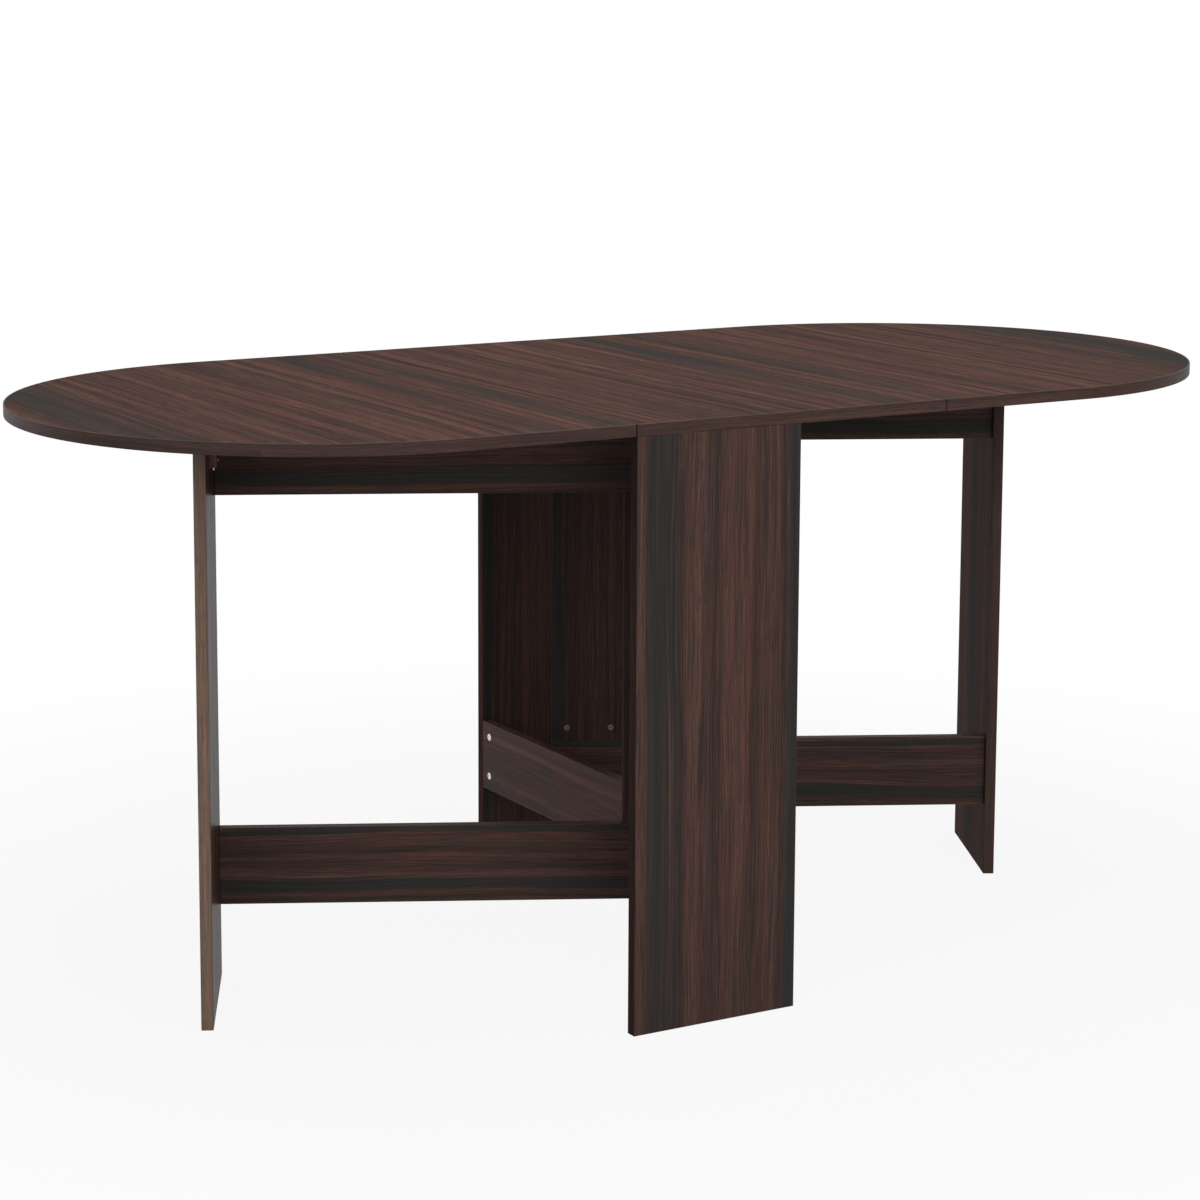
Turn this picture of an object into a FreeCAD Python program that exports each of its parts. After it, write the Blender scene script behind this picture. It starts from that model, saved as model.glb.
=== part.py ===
"""Drop-leaf dining table with two swinging gates, as a document of separate named parts.

X runs along the table, Y to its back and Z up, with the origin on the floor under the middle of the top.
The table looks the same after half a turn about Z. So every left piece is drawn once, and the right one is
the same drawing with its Placement turned by half a turn. A gate is drawn with its pivot at the origin and
its rails along X, and its Placement sets it at the open angle.
"""

import FreeCAD
import Part
import Sketcher
import os
import re

SHEET = "Sizes"
HALF_TURN = 180

# Driving sizes in millimetres, and one angle in degrees
SIZES = {
    # The whole table
    "table_height": 750.0,
    "table_width": 800.0,
    "centre_length": 450.0,
    "leaf_length": 613.0,
    "seam_gap": 2.0,
    "top_thickness": 15.0,
    "board_thickness": 15.0,
    "rim_thickness": 2.0,
    "rim_rounding": 0.8,
    # The gates and the spine
    "open_angle": 26.3,
    "pivot_inset": 174.0,
    "rail_height": 100.0,
    "lower_rail_bottom": 100.0,
    "stile_width": 104.0,
    "leg_width": 215.0,
    "leg_recess": 9.0,
    "leg_closing_gap": 2.0,
    "leg_top_gap": 0.5,
    # The gate pivots
    "pivot_pin_diameter": 6.0,
    "pivot_pin_depth": 28.0,
    "pivot_fit": 0.05,
    "bush_diameter": 9.0,
    "bush_length": 30.0,
    "bush_flange_diameter": 14.0,
    "bush_flange_thickness": 2.0,
    "bush_gap": 0.3,
    "plate_thickness": 3.5,
    "plate_width": 36.0,
    "plate_length": 70.0,
    "plate_margin": 14.0,
    "plate_rounding": 6.0,
    "plate_screw_spacing": 48.0,
    "plate_screw_pair": 18.0,
    "plate_screw_diameter": 4.0,
    "plate_screw_head": 8.0,
    "plate_screw_depth": 10.0,
    # The leaf hinges
    "hinge_length": 60.0,
    "hinge_wing": 25.0,
    "hinge_thickness": 1.5,
    "hinge_spacing": 280.0,
    "hinge_drop": 2.6,
    "hinge_end_gap": 0.2,
    "knuckle_diameter": 5.0,
    "knuckle_room": 3.0,
    "hinge_tab_start": 1.7,
    "hinge_tab_overlap": 2.0,
    "hinge_pin_diameter": 3.0,
    "hinge_fit": 0.05,
    "hinge_screw_inset": 10.0,
    "hinge_screw_spacing": 40.0,
    "hinge_screw_diameter": 3.0,
    "hinge_screw_head": 6.0,
    "hinge_screw_depth": 10.0,
    # The cam locks and their bolts
    "cam_diameter": 10.0,
    "cam_depth": 10.0,
    "cam_inset": 19.0,
    "cam_edge_inset": 21.0,
    "cam_slot_length": 6.0,
    "cam_slot_width": 1.6,
    "cam_slot_depth": 1.5,
    "bolt_diameter": 6.0,
    "bolt_depth": 11.0,
    "panel_cam_inset": 42.0,
    # The dowels and the screws between rails and legs
    "dowel_diameter": 8.0,
    "dowel_length": 30.0,
    "dowel_depth": 10.0,
    "panel_dowel_spacing": 64.0,
    "rail_screw_diameter": 5.0,
    "rail_screw_length": 50.0,
    "rail_screw_head": 9.0,
    "rail_screw_head_height": 3.0,
    "rail_cap_thickness": 1.5,
    # The rest block near the top of each leg
    "rest_depth": 10.0,
    "rest_length": 40.0,
    "rest_height": 52.0,
    "rest_front": 125.0,
    "rest_rounding": 3.0,
    "rest_screw_diameter": 4.0,
    "rest_screw_head": 6.0,
    "rest_screw_head_height": 2.0,
    "rest_screw_depth": 9.0,
    "rest_screw_inset": 8.0,
    "rest_screw_rise": 10.5,
    "rest_cap_depth": 2.0,
    "rest_cap_height": 2.0,
    "rest_pin_diameter": 3.2,
    "rest_pin_depth": 6.0,
    "rest_pin_drop": 3.0,
    "rest_pin_inset": 5.0,
}

# Sizes that follow from the driving ones
DERIVED = {
    "underside": "table_height - top_thickness",
    "half_width": "table_width / 2",
    "half_centre": "centre_length / 2",
    "half_board": "board_thickness / 2",
    "core_half_width": "half_width - rim_thickness",
    "panel_inner": "half_width - board_thickness",
    "panel_middle": "half_width - half_board",
    "panel_width": "half_centre + half_board",
    "panel_centre": "(half_board - half_centre) / 2",
    "leaf_root": "half_centre + seam_gap",
    "leaf_end_centre": "leaf_root + leaf_length - half_width",
    "seam": "half_centre + seam_gap / 2",
    "hinge_height": "underside - hinge_drop",
    "knuckle_length": "hinge_length / 3 - hinge_end_gap",
    "hinge_start": "hinge_spacing + hinge_length / 2",
    "pivot_across": "board_thickness + leg_closing_gap + leg_recess",
    "pivot_along": "half_width - pivot_inset",
    "gate_reach": "table_width - pivot_inset - board_thickness",
    "gate_top": "underside - plate_thickness - bush_flange_thickness - bush_gap",
    "upper_rail_bottom": "gate_top - rail_height",
    "lower_rail_top": "lower_rail_bottom + rail_height",
    "spine_bottom": "lower_rail_bottom - bush_flange_thickness - bush_gap",
    "spine_top": "underside - rail_height",
    "spine_cam_place": "panel_inner - cam_inset",
    "leg_back": "half_board + leg_recess",
    "leg_outer": "gate_reach + board_thickness",
    "rest_bottom": "underside - leg_top_gap - rest_height",
    "bolt_reach": "cam_inset - cam_diameter / 2",
    "rail_end_depth": "rail_screw_length - board_thickness + rail_screw_head_height + rail_cap_thickness",
}

WORD = re.compile(r"[a-z]+(?:_[a-z]+)*")

document = FreeCAD.newDocument("drop_leaf_table")
sub_parts = []


def make_sheet():
    """Writes every driving size to the spreadsheet, with its name as the cell's alias."""
    sheet = document.addObject("Spreadsheet::Sheet", SHEET)
    for row, (name, value) in enumerate(SIZES.items(), start=1):
        sheet.set(f"A{row}", name)
        sheet.set(f"B{row}", str(value))
        sheet.setAlias(f"B{row}", name)
    document.recompute()


def expression(words):
    """Turns a sum of named sizes into an expression that reads them from the spreadsheet."""

    def swap(match):
        word = match.group(0)
        if word in DERIVED:
            return f"({expression(DERIVED[word])})"
        return f"{SHEET}.{word}"

    return WORD.sub(swap, words)


def bind(target, name, words):
    """Binds one property of a document object to a sum of named sizes."""
    target.setExpression(name, expression(words))


def turned(places):
    """Gives places in plan, and after them the same places half a turn about Z away."""
    return places + [(f"-({across})", f"-({along})") for across, along in places]


def new_body(label):
    """Starts a sub-part in the table's own frame."""
    body = document.addObject("PartDesign::Body", label)
    body.Label = label
    sub_parts.append(body)
    return body


def side_body(side, name):
    """Starts a sub-part of a leaf or a hinge, which is drawn on the left, on the given side of the table."""
    body = new_body(f"{side}_{name}")
    body.Placement.Rotation = FreeCAD.Rotation(FreeCAD.Vector(0, 0, 1), HALF_TURN if side == "right" else 0)
    return body


def gate_body(side, name):
    """Starts a sub-part of a gate, drawn from its pivot, at the open angle on the given side of the table."""
    body = new_body(f"{side}_{name}")
    sign = "-" if side == "left" else ""
    bind(body, "Placement.Base.x", f"{sign}pivot_across")
    bind(body, "Placement.Base.y", f"{sign}pivot_along")
    half_turns = HALF_TURN if side == "left" else 0
    bind(body, "Placement.Rotation.Angle", f"{half_turns} - open_angle")
    return body


def origin_feature(body, role):
    """Finds a plane or an axis of a body's own origin."""
    return next(feature for feature in body.Origin.OriginFeatures if feature.Role == role)


def new_sketch(body, plane, offset):
    """Starts a sketch at an offset along a plane's normal: +Z for XY, -Y for XZ and +X for YZ."""
    sketch = body.newObject("Sketcher::SketchObject", f"{body.Label}_sketch")
    sketch.AttachmentSupport = [(origin_feature(body, f"{plane}_Plane"), "")]
    sketch.MapMode = "FlatFace"
    bind(sketch, "AttachmentOffset.Base.z", offset)
    return sketch


def measure(sketch, kind, ends, words, drawn=1.0):
    """Adds one dimension to a sketch, as it was drawn, and binds it to a sum of named sizes."""
    index = sketch.addConstraint(Sketcher.Constraint(kind, *ends, drawn))
    bind(sketch, f"Constraints[{index}]", words)


def add_rectangle(sketch, left, low, wide, high):
    """Draws an upright rectangle from its lower left corner and its two sizes."""
    corners = [FreeCAD.Vector(*corner, 0) for corner in ((0, 0), (1, 0), (1, 1), (0, 1))]
    lines = [Part.LineSegment(corners[side], corners[side - 3]) for side in range(len(corners))]
    bottom, right, top, back = sketch.addGeometry(lines, False)
    for line, following in ((bottom, right), (right, top), (top, back), (back, bottom)):
        sketch.addConstraint(Sketcher.Constraint("Coincident", line, 2, following, 1))
    for kind, line in (("Horizontal", bottom), ("Vertical", right), ("Horizontal", top), ("Vertical", back)):
        sketch.addConstraint(Sketcher.Constraint(kind, line))
    measure(sketch, "DistanceX", (-1, 1, bottom, 1), left)
    measure(sketch, "DistanceY", (-1, 1, bottom, 1), low)
    measure(sketch, "DistanceX", (bottom, 1, bottom, 2), wide)
    measure(sketch, "DistanceY", (right, 1, right, 2), high)


def add_circle(sketch, across, along, diameter):
    """Draws a circle from its centre and its diameter."""
    circle = sketch.addGeometry(Part.Circle(FreeCAD.Vector(1, 1, 0), FreeCAD.Vector(0, 0, 1), 1.0), False)
    measure(sketch, "DistanceX", (-1, 1, circle, 3), across)
    measure(sketch, "DistanceY", (-1, 1, circle, 3), along)
    measure(sketch, "Diameter", (circle,), diameter)


def add_leaf_outline(sketch, radius):
    """Draws the left leaf's outline: the straight root, two straight sides and a half-round end."""
    half = SIZES["table_width"] / 2
    root = -SIZES["centre_length"] / 2
    end = root + half - SIZES["leaf_length"]
    places = ((root, half), (end, half), (end, -half), (root, -half))
    corners = [FreeCAD.Vector(*place, 0) for place in places]
    tip = FreeCAD.Vector(end - half, 0, 0)
    rear, front, root_line = sketch.addGeometry(
        [
            Part.LineSegment(corners[0], corners[1]),
            Part.LineSegment(corners[2], corners[3]),
            Part.LineSegment(corners[3], corners[0]),
        ],
        False,
    )
    arc = sketch.addGeometry(Part.Arc(corners[1], tip, corners[2]), False)
    sketch.addConstraint(Sketcher.Constraint("Coincident", root_line, 2, rear, 1))
    sketch.addConstraint(Sketcher.Constraint("Coincident", front, 2, root_line, 1))
    sketch.addConstraint(Sketcher.Constraint("Tangent", rear, 2, arc, 1))
    sketch.addConstraint(Sketcher.Constraint("Tangent", arc, 2, front, 1))
    sketch.addConstraint(Sketcher.Constraint("Horizontal", rear))
    sketch.addConstraint(Sketcher.Constraint("Horizontal", front))
    sketch.addConstraint(Sketcher.Constraint("Vertical", root_line))
    sketch.addConstraint(Sketcher.Constraint("PointOnObject", arc, 3, -1))
    measure(sketch, "DistanceX", (-1, 1, root_line, 1), "-leaf_root", root)
    measure(sketch, "DistanceX", (-1, 1, arc, 3), "-leaf_end_centre", end)
    measure(sketch, "Radius", (arc,), radius, half)


def pad(body, sketch, length, with_normal=True):
    """Pads a sketch along its plane's normal, or against it."""
    feature = body.newObject("PartDesign::Pad", f"{body.Label}_pad")
    feature.Profile = sketch
    bind(feature, "Length", length)
    feature.Reversed = not with_normal
    return feature


def cut(body, sketch, depth, with_normal=True):
    """Cuts a sketch into the body along its plane's normal, or against it."""
    feature = body.newObject("PartDesign::Pocket", f"{body.Label}_pocket")
    feature.Profile = sketch
    bind(feature, "Length", depth)
    feature.Reversed = with_normal
    return feature


def drill(body, plane, offset, places, diameter, depth, with_normal=True):
    """Cuts round holes of one size at several places."""
    sketch = new_sketch(body, plane, offset)
    for across, along in places:
        add_circle(sketch, across, along, diameter)
    return cut(body, sketch, depth, with_normal)


def studs(body, plane, offset, places, diameter, length, with_normal=True):
    """Pads round bars of one size at several places."""
    sketch = new_sketch(body, plane, offset)
    for across, along in places:
        add_circle(sketch, across, along, diameter)
    return pad(body, sketch, length, with_normal)


def row_along_y(body, features):
    """Repeats the features of the rearmost hinge at the middle and the front one."""
    row = body.newObject("PartDesign::LinearPattern", f"{body.Label}_row")
    row.Originals = features
    row.Direction = (origin_feature(body, "Y_Axis"), [""])
    row.Reversed = True
    bind(row, "Length", "2 * hinge_spacing")
    row.Occurrences = 3
    body.Tip = row


def round_edges(body, base, edges, radius):
    """Rounds the edges of a feature that a test picks."""
    document.recompute()
    names = [f"Edge{place}" for place, edge in enumerate(base.Shape.Edges, start=1) if edges(edge.BoundBox)]
    feature = body.newObject("PartDesign::Fillet", f"{body.Label}_fillet")
    feature.Base = (base, names)
    bind(feature, "Radius", radius)
    return feature


# Places that a fastener and its holes share

PANEL_CAMS = ["panel_cam_inset - half_centre", "half_board - panel_cam_inset"]
PANEL_BOLT_PLACES = turned([(across, "-panel_middle") for across in PANEL_CAMS])
PANEL_DOWEL_PLACES = turned(
    [(f"panel_centre {sign} panel_dowel_spacing / 2", "-panel_middle") for sign in ("-", "+")]
)
HINGE_ROWS = ["-hinge_spacing", "0", "hinge_spacing"]


def hinge_screw_places(across):
    """Lists the two screws of each leaf hinge on the left seam."""
    return [(across, f"{row} {sign} hinge_screw_spacing / 2") for row in HINGE_ROWS for sign in ("-", "+")]


FRAME_HINGE_SCREWS = hinge_screw_places("hinge_wing - hinge_screw_inset - seam")
LEAF_HINGE_SCREWS = hinge_screw_places("hinge_screw_inset - hinge_wing - seam")
UPPER_PLATE_SCREWS = turned(
    [("-pivot_across", f"{sign} plate_screw_spacing / 2 - pivot_along") for sign in ("-", "+")]
)
LOWER_PLATE_SCREWS = turned([("0", f"{sign} plate_screw_pair / 2 - pivot_along") for sign in ("-", "+")])
SPINE_RAILS = {"lower": "spine_bottom", "upper": "spine_top"}
GATE_RAILS = {"lower": "lower_rail_bottom", "upper": "upper_rail_bottom"}
STILE_CAM_COLUMNS = ["cam_edge_inset - half_board", "stile_width - cam_edge_inset - half_board"]
STILE_BOLT_PLACES = [(across, "0") for across in STILE_CAM_COLUMNS]
PIVOT_PLACE = [("0", "0")]
CAM_RISES = ["cam_edge_inset", "rail_height - cam_edge_inset"]
STILE_CAMS = [
    (across, height)
    for across in STILE_CAM_COLUMNS
    for height in ("lower_rail_top + cam_inset", "upper_rail_bottom - cam_inset")
]
REST_SCREW_PLACES = [
    ("rest_front - rest_screw_inset", "rest_bottom + rest_screw_rise"),
    ("rest_front - rest_length + rest_screw_inset", "rest_bottom + rest_height - rest_screw_rise"),
]
REST_PIN_PLACE = [("gate_reach - rest_depth / 2", "rest_front - rest_pin_inset")]
FRAME_WING = "knuckle_room - seam"
LEAF_WING = "-seam - hinge_wing"
WING_SCREW = {
    FRAME_WING: "hinge_wing - knuckle_room - hinge_screw_inset",
    LEAF_WING: "hinge_screw_inset",
}


def rail_screw_places(bottom):
    """Lists the screws that join one rail to its leg, seen along the rail."""
    return [("0", f"{bottom} + {rise}") for rise in CAM_RISES]


def rail_dowel_place(bottom):
    """Gives the dowel between a rail's two screws, seen along the rail."""
    return [("0", f"{bottom} + rail_height / 2")]


def make_centre_top():
    """Makes the fixed middle of the top, with the holes under it, and its two rims."""
    body = new_body("centre_top")
    sketch = new_sketch(body, "XY", "underside")
    add_rectangle(sketch, "-half_centre", "-core_half_width", "centre_length", "2 * core_half_width")
    pad(body, sketch, "top_thickness")
    drill(body, "XY", "underside", PANEL_BOLT_PLACES, "bolt_diameter", "bolt_depth")
    drill(body, "XY", "underside", PANEL_DOWEL_PLACES, "dowel_diameter", "dowel_depth")
    drill(body, "XY", "underside", turned(FRAME_HINGE_SCREWS), "hinge_screw_diameter", "hinge_screw_depth")
    drill(body, "XY", "underside", UPPER_PLATE_SCREWS, "plate_screw_diameter", "plate_screw_depth")
    rims = new_body("centre_rims")
    sketch = new_sketch(rims, "XY", "underside")
    for low in ("-half_width", "core_half_width"):
        add_rectangle(sketch, "-half_centre", low, "centre_length", "rim_thickness")
    bars = pad(rims, sketch, "top_thickness")
    outer = SIZES["table_width"] / 2 - SIZES["rim_thickness"] / 2
    round_edges(
        rims, bars, lambda box: box.XLength > box.ZLength and max(box.YMax, -box.YMin) > outer, "rim_rounding"
    )


def make_end_panel(label, half_turn):
    """Makes one end panel, which stands on the floor under one half of the centre's end."""
    body = new_body(label)
    body.Placement.Rotation = FreeCAD.Rotation(FreeCAD.Vector(0, 0, 1), half_turn)
    sketch = new_sketch(body, "XZ", "half_width")
    add_rectangle(sketch, "-half_centre", "0", "panel_width", "underside")
    pad(body, sketch, "board_thickness", False)
    cam_places = [(across, "underside - cam_inset") for across in PANEL_CAMS]
    drill(body, "XZ", "panel_inner", cam_places, "cam_diameter", "cam_depth")
    bolt_places = [(across, "-panel_middle") for across in PANEL_CAMS]
    drill(body, "XY", "underside", bolt_places, "bolt_diameter", "bolt_reach", False)
    dowel_places = PANEL_DOWEL_PLACES[: len(PANEL_DOWEL_PLACES) // 2]
    drill(body, "XY", "underside", dowel_places, "dowel_diameter", "dowel_length - dowel_depth", False)
    spine_bolts = [("0", f"{bottom} + {rise}") for bottom in SPINE_RAILS.values() for rise in CAM_RISES]
    drill(body, "XZ", "panel_inner", spine_bolts, "bolt_diameter", "bolt_depth")


def make_spine_rail(name, bottom):
    """Makes one rail of the spine between the two end panels."""
    body = new_body(f"spine_{name}_rail")
    sketch = new_sketch(body, "YZ", "-half_board")
    add_rectangle(sketch, "-panel_inner", bottom, "2 * panel_inner", "rail_height")
    pad(body, sketch, "board_thickness")
    for end, with_normal in (("", True), ("-", False)):
        cams = [(f"{end}spine_cam_place", f"{bottom} + {rise}") for rise in CAM_RISES]
        face = "-half_board" if with_normal else "half_board"
        drill(body, "YZ", face, cams, "cam_diameter", "cam_depth", with_normal)
        bolts = [("0", f"{bottom} + {rise}") for rise in CAM_RISES]
        offset = "-panel_inner" if with_normal else "panel_inner"
        drill(body, "XZ", offset, bolts, "bolt_diameter", "bolt_reach", with_normal)
    if name == "lower":
        drill(body, "XY", bottom, LOWER_PLATE_SCREWS, "plate_screw_diameter", "plate_screw_depth")


def add_cams(body, plane, offset, places, with_normal):
    """Adds slotted cam locks that fill their holes."""
    studs(body, plane, offset, places, "cam_diameter", "cam_depth", with_normal)
    sketch = new_sketch(body, plane, offset)
    for across, along in places:
        left = f"{across} - cam_slot_length / 2"
        low = f"{along} - cam_slot_width / 2"
        add_rectangle(sketch, left, low, "cam_slot_length", "cam_slot_width")
    cut(body, sketch, "cam_slot_depth", with_normal)


def make_base_fittings():
    """Makes the cam locks, bolts and dowels that hold the panels, the spine and the centre together."""
    spine_cams = new_body("spine_cams")
    spine_bolts = new_body("spine_cam_bolts")
    heights = [f"{bottom} + {rise}" for bottom in SPINE_RAILS.values() for rise in CAM_RISES]
    rear = [("spine_cam_place", height) for height in heights]
    front = [("-spine_cam_place", height) for height in heights]
    add_cams(spine_cams, "YZ", "-half_board", rear, True)
    add_cams(spine_cams, "YZ", "half_board", front, False)
    places = [("0", height) for height in heights]
    length = "bolt_depth + bolt_reach"
    studs(spine_bolts, "XZ", "panel_inner - bolt_reach", places, "bolt_diameter", length)
    studs(spine_bolts, "XZ", "bolt_reach - panel_inner", places, "bolt_diameter", length, False)
    panel_cams = new_body("panel_cams")
    cams = [(across, "underside - cam_inset") for across in PANEL_CAMS]
    add_cams(panel_cams, "XZ", "panel_inner", cams, True)
    turned_cams = [(f"-({across})", height) for across, height in cams]
    add_cams(panel_cams, "XZ", "-panel_inner", turned_cams, False)
    panel_bolts = new_body("panel_cam_bolts")
    studs(panel_bolts, "XY", "underside - bolt_reach", PANEL_BOLT_PLACES, "bolt_diameter", length)
    dowels = new_body("panel_dowels")
    foot = "underside + dowel_depth - dowel_length"
    studs(dowels, "XY", foot, PANEL_DOWEL_PLACES, "dowel_diameter", "dowel_length")


def make_pivot_fittings():
    """Makes the steel plates, pins and screws on which the two gates turn."""
    upper = new_body("upper_pivot_plates")
    sketch = new_sketch(upper, "XY", "underside")
    for across, along in turned([("-pivot_across", "-pivot_along")]):
        left = f"{across} - plate_width / 2"
        add_rectangle(sketch, left, f"{along} - plate_length / 2", "plate_width", "plate_length")
    plates = pad(upper, sketch, "plate_thickness", False)
    round_edges(upper, plates, lambda box: box.XLength + box.YLength < box.ZLength, "plate_rounding")
    places = turned([("-pivot_across", "-pivot_along")])
    drill(upper, "XY", "underside", places, "pivot_pin_diameter", "plate_thickness", False)
    drill(upper, "XY", "underside", UPPER_PLATE_SCREWS, "plate_screw_head", "plate_thickness", False)
    lower = new_body("lower_pivot_plates")
    sketch = new_sketch(lower, "XY", "spine_bottom")
    reach = "pivot_across + half_board + plate_margin"
    for left, along in (("-pivot_across - plate_margin", "-pivot_along"), ("-half_board", "pivot_along")):
        add_rectangle(sketch, left, f"{along} - plate_width / 2", reach, "plate_width")
    plates = pad(lower, sketch, "plate_thickness", False)
    pivot = SIZES["board_thickness"]
    round_edges(
        lower,
        plates,
        lambda box: box.XLength + box.YLength < box.ZLength and max(box.XMax, -box.XMin) > pivot,
        "plate_rounding",
    )
    drill(lower, "XY", "spine_bottom", places, "pivot_pin_diameter", "plate_thickness", False)
    drill(lower, "XY", "spine_bottom", LOWER_PLATE_SCREWS, "plate_screw_head", "plate_thickness", False)
    pins = new_body("pivot_pins")
    length = "plate_thickness + bush_gap + bush_flange_thickness + pivot_pin_depth"
    studs(pins, "XY", "underside", places, "pivot_pin_diameter", length, False)
    studs(pins, "XY", "spine_bottom - plate_thickness", places, "pivot_pin_diameter", length)
    screws = new_body("pivot_plate_screws")
    for offset, screw_places in (("underside", UPPER_PLATE_SCREWS), ("spine_bottom", LOWER_PLATE_SCREWS)):
        studs(screws, "XY", offset, screw_places, "plate_screw_head", "plate_thickness", False)
        studs(screws, "XY", offset, screw_places, "plate_screw_diameter", "plate_screw_depth")


def make_hinge_half(body, wing_left, tab_left, tab_width, knuckles, bore):
    """Makes one half of a row of butt hinges: the wing, its knuckles and the screw holes.

    The knuckles are numbered from the rear, and each one is a third of the hinge.
    """
    features = []
    sketch = new_sketch(body, "XY", "underside")
    low = "hinge_spacing - hinge_length / 2"
    add_rectangle(sketch, wing_left, low, "hinge_wing - knuckle_room", "hinge_length")
    features.append(pad(body, sketch, "hinge_thickness", False))
    for knuckle in knuckles:
        rear = f"hinge_start - {knuckle} * hinge_length / 3 - hinge_end_gap / 2"
        sketch = new_sketch(body, "XY", "underside")
        add_rectangle(sketch, tab_left, f"{rear} - knuckle_length", tab_width, "knuckle_length")
        features.append(pad(body, sketch, "hinge_thickness", False))
        sketch = new_sketch(body, "XZ", f"-({rear})")
        add_circle(sketch, "-seam", "hinge_height", "knuckle_diameter")
        add_circle(sketch, "-seam", "hinge_height", bore)
        features.append(pad(body, sketch, "knuckle_length"))
    places = [
        (f"{wing_left} + {WING_SCREW[wing_left]}", f"hinge_spacing {sign} hinge_screw_spacing / 2")
        for sign in ("-", "+")
    ]
    features.append(drill(body, "XY", "underside", places, "hinge_screw_head", "hinge_thickness", False))
    row_along_y(body, features)


def make_hinge_screws(body, places):
    """Makes the countersunk screws of one row of hinge wings."""
    studs(body, "XY", "underside", places, "hinge_screw_head", "hinge_thickness", False)
    studs(body, "XY", "underside", places, "hinge_screw_diameter", "hinge_screw_depth")


def make_leaf_hinges(side):
    """Makes the three butt hinges under one seam, both halves with their pins and screws."""
    tab_width = "knuckle_room - hinge_tab_start + hinge_tab_overlap"
    frame = side_body(side, "hinge_frame_halves")
    make_hinge_half(frame, FRAME_WING, "hinge_tab_start - seam", tab_width, (0, 2), "hinge_pin_diameter")
    leaf = side_body(side, "hinge_leaf_halves")
    running_bore = "hinge_pin_diameter + 2 * hinge_fit"
    tab_left = "-seam - knuckle_room - hinge_tab_overlap"
    make_hinge_half(leaf, LEAF_WING, tab_left, tab_width, (1,), running_bore)
    pins = side_body(side, "hinge_pins")
    axis = [("-seam", "hinge_height")]
    first = studs(pins, "XZ", "-hinge_start", axis, "hinge_pin_diameter", "hinge_length")
    row_along_y(pins, [first])
    make_hinge_screws(side_body(side, "hinge_frame_screws"), FRAME_HINGE_SCREWS)
    make_hinge_screws(side_body(side, "hinge_leaf_screws"), LEAF_HINGE_SCREWS)


def make_leaf(side):
    """Makes one drop leaf and the rim that is glued round its edge."""
    body = side_body(side, "leaf")
    sketch = new_sketch(body, "XY", "underside")
    add_leaf_outline(sketch, "core_half_width")
    pad(body, sketch, "top_thickness")
    drill(body, "XY", "underside", LEAF_HINGE_SCREWS, "hinge_screw_diameter", "hinge_screw_depth")
    rim = side_body(side, "leaf_rim")
    sketch = new_sketch(rim, "XY", "underside")
    add_leaf_outline(sketch, "half_width")
    blank = pad(rim, sketch, "top_thickness")
    rounded = round_edges(
        rim, blank, lambda box: box.ZLength < box.XLength and box.XLength > SIZES["seam_gap"], "rim_rounding"
    )
    rim.Tip = rounded
    sketch = new_sketch(rim, "XY", "underside")
    add_leaf_outline(sketch, "core_half_width")
    cut(rim, sketch, "top_thickness")


def make_gate_rail(side, name, bottom):
    """Makes one rail of a gate, with its bush hole, bolt holes and end holes."""
    body = gate_body(side, f"{name}_rail")
    sketch = new_sketch(body, "XZ", "half_board")
    add_rectangle(sketch, "-half_board", bottom, "gate_reach + half_board", "rail_height")
    pad(body, sketch, "board_thickness", False)
    is_lower = name == "lower"
    top = f"{bottom} + rail_height"
    outer, inner = (bottom, top) if is_lower else (top, bottom)
    drill(body, "XY", outer, PIVOT_PLACE, "bush_diameter", "bush_length", is_lower)
    drill(body, "XY", inner, STILE_BOLT_PLACES, "bolt_diameter", "bolt_depth", not is_lower)
    drill(body, "YZ", "gate_reach", rail_screw_places(bottom), "rail_screw_diameter", "rail_end_depth", False)
    depth = "dowel_length - dowel_depth"
    drill(body, "YZ", "gate_reach", rail_dowel_place(bottom), "dowel_diameter", depth, False)


def make_stile(side):
    """Makes the upright board between a gate's two rails, with its cam holes."""
    body = gate_body(side, "stile")
    sketch = new_sketch(body, "XZ", "half_board")
    height = "upper_rail_bottom - lower_rail_top"
    add_rectangle(sketch, "-half_board", "lower_rail_top", "stile_width", height)
    pad(body, sketch, "board_thickness", False)
    drill(body, "XZ", "half_board", STILE_CAMS, "cam_diameter", "cam_depth", False)
    drill(body, "XY", "lower_rail_top", STILE_BOLT_PLACES, "bolt_diameter", "bolt_reach")
    drill(body, "XY", "upper_rail_bottom", STILE_BOLT_PLACES, "bolt_diameter", "bolt_reach", False)


def make_leg(side):
    """Makes the wide leg at the outer end of a gate, with its screw, dowel and rest block holes."""
    body = gate_body(side, "leg")
    sketch = new_sketch(body, "YZ", "gate_reach")
    add_rectangle(sketch, "-leg_back", "0", "leg_width", "underside - leg_top_gap")
    pad(body, sketch, "board_thickness")
    sunk = "rail_screw_head_height + rail_cap_thickness"
    for bottom in GATE_RAILS.values():
        places = rail_screw_places(bottom)
        drill(body, "YZ", "leg_outer", places, "rail_screw_diameter", "board_thickness", False)
        drill(body, "YZ", "leg_outer", places, "rail_screw_head", sunk, False)
        drill(body, "YZ", "gate_reach", rail_dowel_place(bottom), "dowel_diameter", "dowel_depth")
    drill(body, "YZ", "gate_reach", REST_SCREW_PLACES, "rest_screw_diameter", "rest_screw_depth")


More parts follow.
